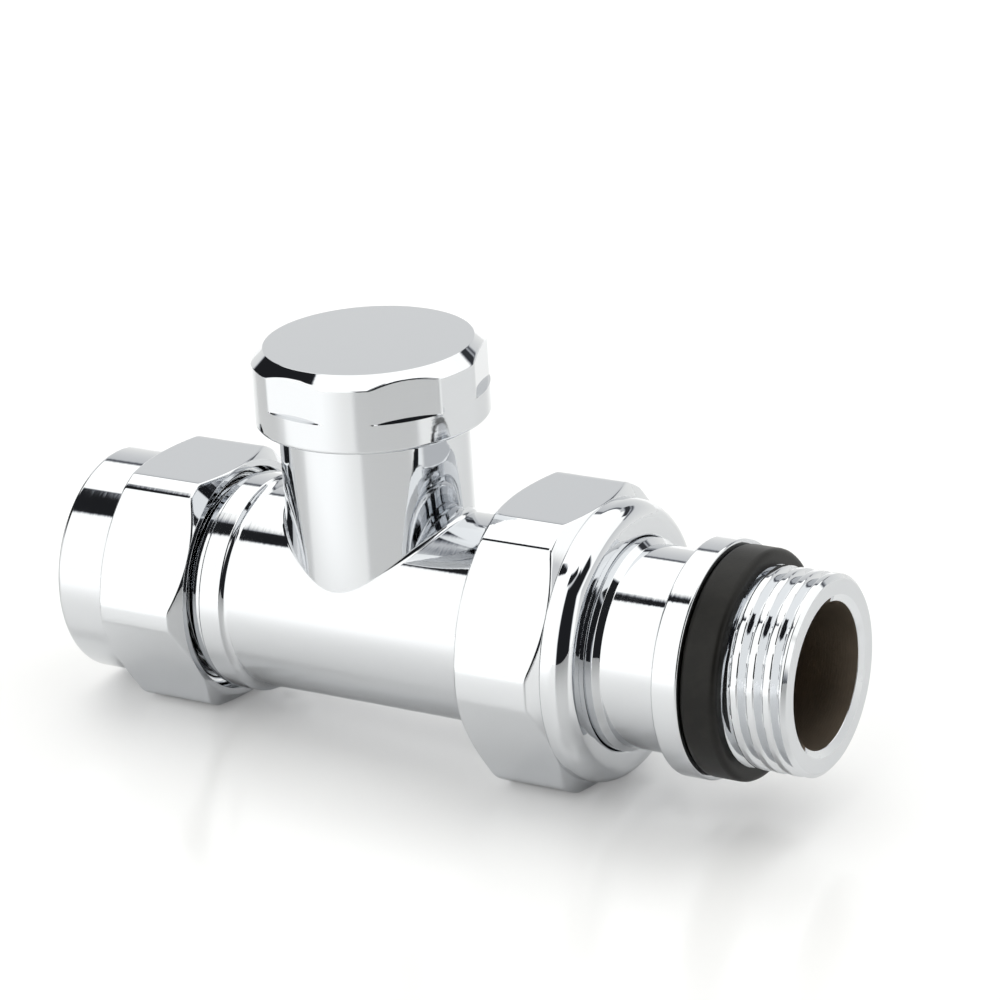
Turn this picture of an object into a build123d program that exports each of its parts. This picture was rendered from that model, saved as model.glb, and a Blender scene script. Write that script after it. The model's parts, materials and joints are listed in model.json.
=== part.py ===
"""Straight lockshield valve for a radiator: chrome-plated brass, all sizes in millimetres.

The frame's origin is on the pipe axis, in the plane where the rubber ring seals on the radiator.
+X runs along the pipe axis out of the radiator thread, and +Z runs up the spindle to the cap.
"""
from build123d import *
import os
from math import radians, sin

os.makedirs("parts", exist_ok=True)

# ---------------------------------------------------------------- driving dimensions
# Threads are plain cylinders at their major diameter
radiator_thread_d = 20.955      # G 1/2 male, screws into the radiator
pipe_thread_d = 20.955          # G 1/2 male on the body, under the pipe nut
union_thread_d = 26.441         # G 3/4 male on the body, under the union nut
cap_thread_d = 19.0             # M19 x 1 on top of the neck
headwork_thread_d = 16.0        # M16 x 1 inside the neck
spindle_thread_d = 8.0          # M8 x 1.5 inside the headwork
thread_clearance = 0.06         # radial gap between a male and a female major diameter
running_clearance = 0.07        # radial gap of a piece that turns or slides in a bore
seal_gap = 0.04                 # radial gap between a squeezed seal and the wall it seals on
groove_gap = 0.05               # side gap of a ring in its groove
edge_break = 0.4                # chamfer on the ends of threads and bores
end_gap = 0.1                   # axial gap between two pieces that stop short of each other

# Lengths along the pipe axis
thread_reach = 7.0              # radiator thread beyond the sealing plane
seal_width = 4.0                # rubber ring
flange_width = 2.9              # tailpiece flange behind the rubber ring
tail_reach = 19.7               # union face of the body to the sealing plane
union_reach = 25.7              # spindle axis to the union face of the body
union_thread_length = 7.7
pipe_reach = 27.0               # spindle axis to the pipe end of the body
collar_reach = 17.3             # spindle axis to the far face of the body's collar
collar_width = 4.15
thread_relief_width = 1.2       # turned down beside the collar
thread_relief_depth = 0.9
pipe_nut_gap = 0.3              # collar to the pipe nut's end face
pipe_nut_hex_length = 10.7
pipe_nut_sleeve_length = 6.4
union_nut_hex_length = 10.0
union_nut_nose = 3.1            # rounded nose in front of the hexagon
union_nut_overhang = 4.6        # union face to the front of the nose
guide_cone_length = 1.6         # from the tail's guide down to its tube
snap_ring_setback = 0.5         # union face to the snap ring
snap_ring_thickness = 1.0

# Outside diameters and widths across flats
run_d = 22.3                    # body along the pipe axis
neck_d = 20.2
saddle_round = 0.6              # where the neck meets the run
collar_height = 0.8             # collar's rim above the run
pipe_nut_flats = 26.0
pipe_nut_corner = 1.45          # turned corners above the flats
pipe_nut_sleeve_step = 0.7      # sleeve below the flats
union_nut_flats = 30.0
union_nut_corner = 1.4
union_nose_step = 0.1           # nose below the flats
nose_round = 2.4                # radius of the rounded nose
nose_sweep = 74.0               # degrees of arc before the nose meets its flat front
snap_groove_depth = 0.9
snap_ring_end_gap = 2.5         # where the ring is split
snap_ring_fit = 0.7             # radial gap to the union nut's thread
tail_tube_d = 21.3
union_shelf = 2.02              # width of the shelf that keeps the snap ring in the nut
tail_flange_height = 1.85       # flange above the tube
seal_inset = 0.45               # rubber ring below the flange's rim
seal_seat_d = 19.2              # tailpiece under the rubber ring
seal_round = 0.7

# Waterway
pipe_d = 15.0
pipe_clearance = 0.1            # radial, in the socket, the olive and the nut
socket_depth = 11.5
tail_bore_d = 15.3
spigot_wall = 2.25              # tailpiece inside the body
inlet_bore_d = 13.0
outlet_bore_d = 14.0
seat_bore_d = 9.0
seat_land_width = 1.0
seat_land_height = 0.6
passage_width = 10.0            # oval passages each side of the seat
partition = 1.6                 # wall between a bore's end and the valve chamber
floor_wall = 0.7                # wall between the inlet passage and the chamber floor

# Heights above the pipe axis
seat_height = 2.0
washer_thickness = 1.6
plug_height = 6.4
lift = 3.0                      # travel of the plug from closed to open
headwork_height = 13.0
neck_shoulder_height = 21.0
neck_top_height = 26.5

# Headwork, spindle and plug
chamber_d = 14.0
headwork_seal_bore_d = 15.0
headwork_seal_length = 3.5
o_ring_section = 1.6            # headwork and union O-rings
spindle_head_d = 10.0
spindle_head_length = 3.5
spindle_tip_d = 4.4
spindle_ring_section = 1.0
key_flats = 5.0                 # hexagon socket for the lockshield key
key_depth = 3.0
clip_thickness = 0.7
circlip_depth = 0.6             # into the wall, and over the spindle's head
circlip_end_gap = 3.0
circlip_margin = 0.4            # headwork's top face to the circlip's groove
headwork_setback = 0.2          # below the neck's top
key_slot_length = 3.2           # two slots in the headwork's top face
key_slot_width = 1.6
key_slot_depth = 0.9
plug_d = 12.8
plug_boss_d = 8.0
plug_rim_height = 0.4           # above the washer, before the cone up to the boss
plug_cone_height = 1.2
washer_cup_height = 1.0         # how far the washer sits in the plug
washer_cup_wall = 0.7
tip_height = 2.6                # spindle's tip above the washer
plug_clip_height = 1.2          # spring clip above the tip's end
plug_clip_end_gap = 1.4
tip_groove_depth = 0.4
plug_groove_depth = 0.8
screw_d = 3.0
screw_head_d = 5.2
screw_head_height = 1.1
screw_slot_width = 0.7
screw_slot_depth = 0.6
screw_end_gap = 0.4             # screw's end to the spindle's tip

# Cap
cap_d = 25.0
cap_flats = 23.8
cap_flats_turn = -10.3          # degrees from +X to a corner between two wrench flats
cap_gap = 0.3                   # neck shoulder to the cap's rim
cap_rim_height = 3.2            # full-round rim below the wrench flats
cap_top_thickness = 2.05
cap_chamfer_width = 1.1
cap_chamfer_height = 1.5
cap_washer_thickness = 1.0
cap_washer_hole_d = 14.8

# Olive
olive_band = 2.6                # cylindrical middle, between its two cones
olive_wall = 1.6
olive_gap = 0.3                 # to the cones it is squeezed between

# ---------------------------------------------------------------- shared places
union_face_x = -tail_reach
neck_x = union_face_x - union_reach
pipe_end_x = neck_x - pipe_reach
pipe_section = Plane.XZ
neck_section = Plane(origin=(neck_x, 0, 0), x_dir=(1, 0, 0), z_dir=(0, -1, 0))
neck_axis = Axis((neck_x, 0, 0), (0, 0, 1))

socket_r = pipe_d / 2 + pipe_clearance
union_thread_r = union_thread_d / 2
tail_guide_r = union_thread_r - union_shelf
tail_flange_r = tail_tube_d / 2 + tail_flange_height
seal_r = tail_flange_r - seal_inset
collar_r = run_d / 2 + collar_height
pipe_thread_r = pipe_thread_d / 2
radiator_thread_r = radiator_thread_d / 2
spigot_r = tail_bore_d / 2 + spigot_wall
spigot_length = 3 * o_ring_section
o_ring_groove_depth = 0.8 * o_ring_section
headwork_bottom_z = headwork_height + edge_break
chamber_floor_z = seat_height - seat_land_height
socket_stop_x = pipe_end_x + socket_depth


def hexagon_waste(flats):
    """Add the ring of metal outside a hexagon to the sketch in hand."""
    Circle(flats)
    RegularPolygon(flats / 2, 6, major_radius=False, mode=Mode.SUBTRACT)


# ---------------------------------------------------------------- valve body
collar_x = neck_x - collar_reach
collar_end_x = collar_x + collar_width
relief_x = collar_x - thread_relief_width
relief_r = pipe_thread_r - thread_relief_depth
union_shoulder_x = union_face_x - union_thread_length

with BuildPart() as valve_body:
    with BuildSketch(pipe_section):
        with BuildLine():
            Polyline(
                (pipe_end_x, 0),
                (pipe_end_x, pipe_thread_r - edge_break),
                (pipe_end_x + edge_break, pipe_thread_r),
                (relief_x, pipe_thread_r),
                (relief_x, relief_r),
                (collar_x, relief_r),
                (collar_x, collar_r),
                (collar_end_x, collar_r),
                (collar_end_x, run_d / 2),
                (union_shoulder_x, run_d / 2),
                (union_shoulder_x, union_thread_r - edge_break),
                (union_shoulder_x + edge_break, union_thread_r),
                (union_face_x - edge_break, union_thread_r),
                (union_face_x, union_thread_r - edge_break),
                (union_face_x, 0),
                close=True,
            )
        make_face()
    revolve(axis=Axis.X)
    collar_edges = valve_body.edges().filter_by_position(
        Axis.X, collar_x - 0.01, collar_end_x + 0.01
    )
    rims = collar_edges.filter_by(GeomType.CIRCLE).filter_by(
        lambda e: abs(e.radius - collar_r) < 0.01
    )
    fillet(rims.sort_by(Axis.X)[0], radius=0.9 * collar_height)
    fillet(rims.sort_by(Axis.X)[-1], radius=0.3 * collar_height)
    with BuildSketch(neck_section):
        with BuildLine():
            Polyline(
                (0, 0),
                (neck_d / 2, 0),
                (neck_d / 2, neck_shoulder_height - edge_break),
                (neck_d / 2 - edge_break, neck_shoulder_height),
                (cap_thread_d / 2, neck_shoulder_height),
                (cap_thread_d / 2, neck_top_height - edge_break),
                (cap_thread_d / 2 - edge_break, neck_top_height),
                (0, neck_top_height),
                close=True,
            )
        make_face()
    revolve(axis=neck_axis)
    saddle = valve_body.edges().filter_by(GeomType.BSPLINE)
    fillet(saddle, radius=saddle_round)
    # Pipe socket with its cone for the olive, and the inlet bore
    inlet_end_x = neck_x - chamber_d / 2 - partition
    cone_depth = olive_wall + olive_gap
    with BuildSketch(pipe_section):
        with BuildLine():
            Polyline(
                (pipe_end_x, 0),
                (pipe_end_x, socket_r + cone_depth),
                (pipe_end_x + cone_depth, socket_r),
                (socket_stop_x, socket_r),
                (socket_stop_x, inlet_bore_d / 2),
                (inlet_end_x, inlet_bore_d / 2),
                (inlet_end_x, 0),
                close=True,
            )
        make_face()
    revolve(axis=Axis.X, mode=Mode.SUBTRACT)
    # Union socket for the tailpiece's spigot, and the outlet bore
    union_socket_x = union_face_x - spigot_length - 2 * groove_gap
    outlet_end_x = neck_x + chamber_d / 2 + partition
    with BuildSketch(pipe_section):
        with BuildLine():
            Polyline(
                (union_face_x, 0),
                (union_face_x, spigot_r + running_clearance),
                (union_socket_x, spigot_r + running_clearance),
                (union_socket_x, outlet_bore_d / 2),
                (outlet_end_x, outlet_bore_d / 2),
                (outlet_end_x, 0),
                close=True,
            )
        make_face()
    revolve(axis=Axis.X, mode=Mode.SUBTRACT)
    # Lower chamber, seat, valve chamber and the headwork's bores
    inlet_passage_h = inlet_bore_d / 2 + chamber_floor_z - floor_wall
    with BuildSketch(neck_section):
        with BuildLine():
            Polyline(
                (0, -inlet_bore_d / 2),
                (seat_bore_d / 2, -inlet_bore_d / 2),
                (seat_bore_d / 2, seat_height),
                (seat_bore_d / 2 + seat_land_width, seat_height),
                (seat_bore_d / 2 + seat_land_width, chamber_floor_z),
                (chamber_d / 2, chamber_floor_z),
                (chamber_d / 2, headwork_height),
                (headwork_seal_bore_d / 2, headwork_height),
                (headwork_seal_bore_d / 2, headwork_height + headwork_seal_length),
                (headwork_thread_d / 2, headwork_height + headwork_seal_length),
                (headwork_thread_d / 2, neck_top_height),
                (0, neck_top_height),
                close=True,
            )
        make_face()
    revolve(axis=neck_axis, mode=Mode.SUBTRACT)
    # Inlet passage below the seat and outlet passage above it
    with BuildSketch(Plane.YZ.offset(inlet_end_x)):
        with Locations((0, -inlet_bore_d / 2 + inlet_passage_h / 2)):
            SlotOverall(passage_width, inlet_passage_h)
    extrude(amount=neck_x - inlet_end_x, mode=Mode.SUBTRACT)
    outlet_passage_h = outlet_bore_d / 2 - chamber_floor_z
    with BuildSketch(Plane.YZ.offset(neck_x)):
        with Locations((0, outlet_bore_d / 2 - outlet_passage_h / 2)):
            SlotOverall(passage_width, outlet_passage_h)
    extrude(amount=outlet_end_x - neck_x, mode=Mode.SUBTRACT)

# ---------------------------------------------------------------- pipe nut
pipe_nut_mouth_x = collar_x - pipe_nut_gap
pipe_nut_hex_x = pipe_nut_mouth_x - pipe_nut_hex_length
pipe_nut_end_x = pipe_nut_hex_x - pipe_nut_sleeve_length
pipe_nut_bore_r = pipe_thread_r + thread_clearance
pipe_nut_corner_r = pipe_nut_flats / 2 + pipe_nut_corner
pipe_nut_sleeve_r = pipe_nut_flats / 2 - pipe_nut_sleeve_step
nut_cone_x = pipe_end_x - olive_band

with BuildPart() as pipe_nut:
    with BuildSketch(pipe_section):
        with BuildLine():
            Polyline(
                (pipe_nut_end_x, 0),
                (pipe_nut_end_x, pipe_nut_sleeve_r - edge_break),
                (pipe_nut_end_x + edge_break, pipe_nut_sleeve_r),
                (pipe_nut_hex_x, pipe_nut_sleeve_r),
                (pipe_nut_hex_x, pipe_nut_flats / 2),
                (pipe_nut_hex_x + 0.6 * pipe_nut_corner, pipe_nut_corner_r),
                (pipe_nut_mouth_x - 0.8 * pipe_nut_corner, pipe_nut_corner_r),
                (pipe_nut_mouth_x, pipe_nut_flats / 2),
                (pipe_nut_mouth_x, 0),
                close=True,
            )
        make_face()
    revolve(axis=Axis.X)
    with BuildSketch(Plane.YZ.offset(pipe_nut_hex_x)):
        hexagon_waste(pipe_nut_flats)
    extrude(amount=pipe_nut_hex_length, mode=Mode.SUBTRACT)
    with BuildSketch(pipe_section):
        with BuildLine():
            Polyline(
                (pipe_nut_mouth_x, 0),
                (pipe_nut_mouth_x, pipe_nut_bore_r + 2 * edge_break),
                (pipe_nut_mouth_x - 2 * edge_break, pipe_nut_bore_r),
                (nut_cone_x, pipe_nut_bore_r),
                (nut_cone_x - (pipe_nut_bore_r - socket_r), socket_r),
                (pipe_nut_end_x, socket_r),
                (pipe_nut_end_x, 0),
                close=True,
            )
        make_face()
    revolve(axis=Axis.X, mode=Mode.SUBTRACT)
    chamfer(pipe_nut.edges().sort_by(Axis.X)[0], length=edge_break)

# ---------------------------------------------------------------- olive
olive_r = socket_r + olive_wall
olive_shoulder_x = nut_cone_x + olive_gap
olive_start_x = olive_shoulder_x - olive_wall + edge_break
olive_end_x = pipe_end_x + olive_wall - edge_break

with BuildPart() as olive:
    with BuildSketch(pipe_section):
        with BuildLine():
            Polyline(
                (olive_start_x, socket_r),
                (olive_start_x, socket_r + edge_break),
                (olive_shoulder_x, olive_r),
                (pipe_end_x, olive_r),
                (olive_end_x, socket_r + edge_break),
                (olive_end_x, socket_r),
                close=True,
            )
        make_face()
    revolve(axis=Axis.X)

# ---------------------------------------------------------------- union nut
union_nut_mouth_x = union_face_x + union_nut_overhang
union_nut_hex_end_x = union_nut_mouth_x - union_nut_nose
union_nut_hex_x = union_nut_hex_end_x - union_nut_hex_length
union_nut_bore_r = union_thread_r + thread_clearance
union_nut_corner_r = union_nut_flats / 2 + union_nut_corner
nose_r = union_nut_flats / 2 - union_nose_step
nose_centre_x = union_nut_mouth_x - nose_round * sin(radians(nose_sweep))
snap_ring_x = union_face_x + snap_ring_setback
snap_ring_end_x = snap_ring_x + snap_ring_thickness
union_shelf_x = snap_ring_end_x + 2 * groove_gap
union_mouth_r = tail_guide_r + running_clearance

with BuildPart() as union_nut:
    with BuildSketch(pipe_section):
        with BuildLine():
            Polyline(
                (union_nut_mouth_x, 0),
                (union_nut_hex_x, 0),
                (union_nut_hex_x, union_nut_flats / 2),
                (union_nut_hex_x + 0.6 * union_nut_corner, union_nut_corner_r),
                (union_nut_hex_end_x - 0.7 * union_nut_corner, union_nut_corner_r),
                (union_nut_hex_end_x, union_nut_flats / 2),
                (union_nut_hex_end_x, nose_r),
                (nose_centre_x, nose_r),
            )
            nose_arc = CenterArc(
                (nose_centre_x, nose_r - nose_round), nose_round, 90, -nose_sweep
            )
            Line(nose_arc @ 1, (union_nut_mouth_x, 0))
        make_face()
    revolve(axis=Axis.X)
    with BuildSketch(Plane.YZ.offset(union_nut_hex_x)):
        hexagon_waste(union_nut_flats)
    extrude(amount=union_nut_hex_length, mode=Mode.SUBTRACT)
    with BuildSketch(pipe_section):
        with BuildLine():
            Polyline(
                (union_nut_hex_x, 0),
                (union_nut_hex_x, union_nut_bore_r + edge_break),
                (union_nut_hex_x + edge_break, union_nut_bore_r),
                (union_shelf_x, union_nut_bore_r),
                (union_shelf_x, union_mouth_r),
                (union_nut_mouth_x + edge_break, union_mouth_r),
                (union_nut_mouth_x + edge_break, 0),
                close=True,
            )
        make_face()
    revolve(axis=Axis.X, mode=Mode.SUBTRACT)

# ---------------------------------------------------------------- tailpiece
snap_groove_r = tail_guide_r - snap_groove_depth
guide_end_x = union_nut_mouth_x - end_gap
tube_start_x = guide_end_x + guide_cone_length
flange_back_x = -(seal_width + flange_width)
spigot_end_x = union_face_x - spigot_length
union_ring_x = union_face_x - 2.2 * o_ring_section
union_ring_end_x = union_ring_x + o_ring_section + 2 * groove_gap
flange_edge = edge_break / 2

with BuildPart() as tailpiece:
    with BuildSketch(pipe_section):
        with BuildLine():
            Polyline(
                (spigot_end_x, 0),
                (spigot_end_x, spigot_r - edge_break),
                (spigot_end_x + edge_break, spigot_r),
                (union_ring_x, spigot_r),
                (union_ring_x, spigot_r - o_ring_groove_depth),
                (union_ring_end_x, spigot_r - o_ring_groove_depth),
                (union_ring_end_x, spigot_r),
                (union_face_x, spigot_r),
                (union_face_x, tail_guide_r),
                (snap_ring_x - groove_gap, tail_guide_r),
                (snap_ring_x - groove_gap, snap_groove_r),
                (snap_ring_end_x + groove_gap, snap_groove_r),
                (snap_ring_end_x + groove_gap, tail_guide_r),
                (guide_end_x, tail_guide_r),
                (tube_start_x, tail_tube_d / 2),
                (flange_back_x, tail_tube_d / 2),
                (flange_back_x, tail_flange_r - flange_edge),
                (flange_back_x + flange_edge, tail_flange_r),
                (-seal_width - flange_edge, tail_flange_r),
                (-seal_width, tail_flange_r - flange_edge),
                (-seal_width, seal_seat_d / 2),
                (0, seal_seat_d / 2),
                (0, radiator_thread_r),
                (thread_reach - 2 * edge_break, radiator_thread_r),
                (thread_reach, radiator_thread_r - 2 * edge_break),
                (thread_reach, 0),
                close=True,
            )
        make_face()
    revolve(axis=Axis.X)
    with BuildSketch(Plane.YZ.offset(spigot_end_x)):
        Circle(tail_bore_d / 2)
    extrude(amount=thread_reach - spigot_end_x, mode=Mode.SUBTRACT)

with BuildPart() as radiator_seal_ring:
    with BuildSketch(Plane.YZ.offset(-seal_width)):
        Circle(seal_r)
        Circle(seal_seat_d / 2 + seal_gap, mode=Mode.SUBTRACT)
    extrude(amount=seal_width)
    outer_edges = radiator_seal_ring.edges().filter_by(
        lambda e: e.geom_type == GeomType.CIRCLE and e.radius > seal_r - 0.01
    )
    fillet(outer_edges, radius=seal_round)

with BuildPart() as union_snap_ring:
    with BuildSketch(Plane.YZ.offset(snap_ring_x)):
        Circle(union_thread_r - snap_ring_fit)
        Circle(snap_groove_r + groove_gap, mode=Mode.SUBTRACT)
        with Locations((0, union_thread_r)):
            Rectangle(snap_ring_end_gap, union_thread_r, mode=Mode.SUBTRACT)
    extrude(amount=snap_ring_end_x - snap_ring_x)


def o_ring_radii(groove_r, wall_r):
    """Middle radius and half section of an O-ring squeezed between a groove and a wall."""
    return (groove_r + wall_r) / 2, (wall_r - groove_r) / 2 - seal_gap / 2


union_ring_r, union_ring_half = o_ring_radii(
    spigot_r - o_ring_groove_depth, spigot_r + running_clearance
)
with BuildPart() as union_o_ring:
    with BuildSketch(pipe_section):
        with Locations(((union_ring_x + union_ring_end_x) / 2, union_ring_r)):
            Circle(union_ring_half)
    revolve(axis=Axis.X)

# ---------------------------------------------------------------- headwork
headwork_top_z = neck_top_height - headwork_setback
headwork_seal_r = headwork_seal_bore_d / 2 - running_clearance
headwork_thread_z = headwork_height + headwork_seal_length + 2 * groove_gap
clip_end_z = headwork_top_z - circlip_margin - groove_gap
clip_z = clip_end_z - clip_thickness
head_top_z = clip_z - end_gap - lift
head_bottom_z = head_top_z - spindle_head_length
thread_top_z = head_bottom_z - 2 * end_gap
clip_groove_r = spindle_head_d / 2 + running_clearance + circlip_depth
body_ring_z = headwork_bottom_z + (headwork_seal_length - o_ring_section) / 2 - 2 * groove_gap
body_ring_end_z = body_ring_z + o_ring_section + 2 * groove_gap
body_ring_groove_r = headwork_seal_r - o_ring_groove_depth

with BuildPart() as headwork:
    with BuildSketch(neck_section):
        with BuildLine():
            Polyline(
                (spindle_thread_d / 2 + thread_clearance, headwork_bottom_z),
                (headwork_seal_r - edge_break, headwork_bottom_z),
                (headwork_seal_r, headwork_bottom_z + edge_break),
                (headwork_seal_r, body_ring_z),
                (body_ring_groove_r, body_ring_z),
                (body_ring_groove_r, body_ring_end_z),
                (headwork_seal_r, body_ring_end_z),
                (headwork_seal_r, headwork_thread_z),
                (headwork_thread_d / 2 - thread_clearance, headwork_thread_z),
                (headwork_thread_d / 2 - thread_clearance, headwork_top_z),
                (spindle_head_d / 2 + running_clearance, headwork_top_z),
                (spindle_head_d / 2 + running_clearance, clip_end_z + groove_gap),
                (clip_groove_r, clip_end_z + groove_gap),
                (clip_groove_r, clip_z - groove_gap),
                (spindle_head_d / 2 + running_clearance, clip_z - groove_gap),
                (spindle_head_d / 2 + running_clearance, thread_top_z),
                (spindle_thread_d / 2 + thread_clearance, thread_top_z),
                close=True,
            )
        make_face()
    revolve(axis=neck_axis)
    # Two slots in the top face for the fitting key
    with BuildSketch(Plane(origin=(neck_x, 0, headwork_top_z))):
        for side in (-1, 1):
            with Locations((side * headwork_thread_d / 2, 0)):
                Rectangle(key_slot_length, key_slot_width)
    extrude(amount=-key_slot_depth, mode=Mode.SUBTRACT)

body_ring_r, body_ring_half = o_ring_radii(body_ring_groove_r, headwork_seal_bore_d / 2)
with BuildPart() as headwork_o_ring:
    with BuildSketch(neck_section):
        with Locations((body_ring_r, (body_ring_z + body_ring_end_z) / 2)):
            Circle(body_ring_half)
    revolve(axis=neck_axis)

with BuildPart() as spindle_circlip:
    with BuildSketch(Plane(origin=(neck_x, 0, clip_z))):
        Circle(clip_groove_r - groove_gap)
        Circle(spindle_head_d / 2 - circlip_depth, mode=Mode.SUBTRACT)
        with Locations((0, -spindle_head_d / 2)):
            Rectangle(circlip_end_gap, spindle_head_d / 2, mode=Mode.SUBTRACT)
    extrude(amount=clip_thickness)

# ---------------------------------------------------------------- valve plug and spindle
washer_top_z = seat_height + washer_thickness
plug_top_z = washer_top_z + plug_height
tip_bottom_z = washer_top_z + tip_height
plug_clip_z = tip_bottom_z + plug_clip_height
plug_clip_end_z = plug_clip_z + clip_thickness
tip_groove_r = spindle_tip_d / 2 - tip_groove_depth
plug_groove_r = spindle_tip_d / 2 + plug_groove_depth
screw_end_z = tip_bottom_z - screw_end_gap
washer_r = plug_d / 2 - washer_cup_wall
plug_rim_z = washer_top_z - washer_cup_height
plug_cone_z = washer_top_z + plug_rim_height

with BuildPart() as valve_plug:
    with BuildSketch(neck_section):
        with BuildLine():
            Polyline(
                (screw_d / 2 + thread_clearance, washer_top_z),
                (washer_r + groove_gap, washer_top_z),
                (washer_r + groove_gap, plug_rim_z),
                (plug_d / 2, plug_rim_z),
                (plug_d / 2, plug_cone_z),
                (plug_boss_d / 2, plug_cone_z + plug_cone_height),
                (plug_boss_d / 2, plug_top_z),
                (spindle_tip_d / 2 + running_clearance, plug_top_z),
                (spindle_tip_d / 2 + running_clearance, plug_clip_end_z + groove_gap),
                (plug_groove_r, plug_clip_end_z + groove_gap),
                (plug_groove_r, plug_clip_z - groove_gap),
                (spindle_tip_d / 2 + running_clearance, plug_clip_z - groove_gap),
                (spindle_tip_d / 2 + running_clearance, tip_bottom_z - end_gap),
                (screw_d / 2 + thread_clearance, tip_bottom_z - end_gap),
                close=True,
            )
        make_face()
    revolve(axis=neck_axis)

with BuildPart() as seat_washer:
    with BuildSketch(Plane(origin=(neck_x, 0, seat_height))):
        Circle(washer_r)
        Circle(screw_d / 2 + thread_clearance, mode=Mode.SUBTRACT)
    extrude(amount=washer_thickness)

with BuildPart() as washer_screw:
    with BuildSketch(Plane(origin=(neck_x, 0, seat_height))):
        Circle(screw_head_d / 2)
    extrude(amount=-screw_head_height)
    with BuildSketch(Plane(origin=(neck_x, 0, seat_height - screw_head_height))):
        Rectangle(screw_head_d, screw_slot_width)
    extrude(amount=screw_slot_depth, mode=Mode.SUBTRACT)
    with BuildSketch(Plane(origin=(neck_x, 0, seat_height))):
        Circle(screw_d / 2)
    extrude(amount=screw_end_z - seat_height)

with BuildPart() as plug_clip:
    with BuildSketch(Plane(origin=(neck_x, 0, plug_clip_z))):
        Circle(plug_groove_r - groove_gap)
        Circle(tip_groove_r + groove_gap, mode=Mode.SUBTRACT)
        with Locations((0, -plug_groove_r)):
            Rectangle(plug_clip_end_gap, 2 * tip_groove_r, mode=Mode.SUBTRACT)
    extrude(amount=clip_thickness)

ring_pitch = spindle_head_length / 2
ring_heights = [head_bottom_z + ring_pitch * (index + 0.5) for index in range(2)]
spindle_ring_groove_r = spindle_head_d / 2 - 0.8 * spindle_ring_section
ring_groove_half = spindle_ring_section / 2 + groove_gap

with BuildPart() as spindle:
    with BuildSketch(neck_section):
        with BuildLine():
            Polyline(
                (0, tip_bottom_z),
                (spindle_tip_d / 2, tip_bottom_z),
                (spindle_tip_d / 2, plug_clip_z - groove_gap),
                (tip_groove_r, plug_clip_z - groove_gap),
                (tip_groove_r, plug_clip_end_z + groove_gap),
                (spindle_tip_d / 2, plug_clip_end_z + groove_gap),
                (spindle_tip_d / 2, plug_top_z + end_gap),
                (spindle_thread_d / 2 - edge_break, plug_top_z + end_gap),
                (spindle_thread_d / 2, plug_top_z + end_gap + edge_break),
                (spindle_thread_d / 2, head_bottom_z),
                (spindle_head_d / 2, head_bottom_z),
                (spindle_head_d / 2, head_top_z),
                (0, head_top_z),
                close=True,
            )
        make_face()
    revolve(axis=neck_axis)
    for ring_z in ring_heights:
        with BuildSketch(Plane(origin=(neck_x, 0, ring_z - ring_groove_half))):
            Circle(spindle_head_d)
            Circle(spindle_ring_groove_r, mode=Mode.SUBTRACT)
        extrude(amount=2 * ring_groove_half, mode=Mode.SUBTRACT)
    with BuildSketch(Plane(origin=(neck_x, 0, head_top_z))):
        RegularPolygon(key_flats / 2, 6, major_radius=False)
    extrude(amount=-key_depth, mode=Mode.SUBTRACT)

spindle_ring_r, spindle_ring_half = o_ring_radii(
    spindle_ring_groove_r, spindle_head_d / 2 + running_clearance
)
spindle_rings = {}
for ring_name, ring_z in zip(("spindle_o_ring_lower", "spindle_o_ring_upper"), ring_heights):
    with BuildPart() as spindle_ring:
        with BuildSketch(neck_section):
            with Locations((spindle_ring_r, ring_z)):
                Circle(spindle_ring_half)
        revolve(axis=neck_axis)
    spindle_rings[ring_name] = spindle_ring.part

# ---------------------------------------------------------------- cap
cap_rim_z = neck_shoulder_height + cap_gap
cap_washer_z = neck_top_height
cap_ceiling_z = cap_washer_z + cap_washer_thickness
cap_top_z = cap_ceiling_z + cap_top_thickness
cap_bore_r = cap_thread_d / 2 + thread_clearance

with BuildPart() as cap:
    with BuildSketch(neck_section):
        with BuildLine():
            Polyline(
                (cap_bore_r + edge_break, cap_rim_z),
                (cap_d / 2 - flange_edge, cap_rim_z),
                (cap_d / 2, cap_rim_z + flange_edge),
                (cap_d / 2, cap_top_z - cap_chamfer_height),
                (cap_d / 2 - cap_chamfer_width, cap_top_z),
                (0, cap_top_z),
                (0, cap_ceiling_z),
                (cap_bore_r, cap_ceiling_z),
                (cap_bore_r, cap_rim_z + edge_break),
                close=True,
            )
        make_face()
    revolve(axis=neck_axis)
    with BuildSketch(Plane(origin=(neck_x, 0, cap_rim_z + cap_rim_height))):
        Circle(cap_d)
        RegularPolygon(
            cap_flats / 2, 6, major_radius=False, rotation=cap_flats_turn, mode=Mode.SUBTRACT
        )
    extrude(amount=cap_top_z - cap_rim_z - cap_rim_height, mode=Mode.SUBTRACT)

with BuildPart() as cap_washer:
    with BuildSketch(Plane(origin=(neck_x, 0, cap_washer_z))):
        Circle(cap_bore_r - seal_gap)
        Circle(cap_washer_hole_d / 2, mode=Mode.SUBTRACT)
    extrude(amount=cap_washer_thickness)

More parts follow.
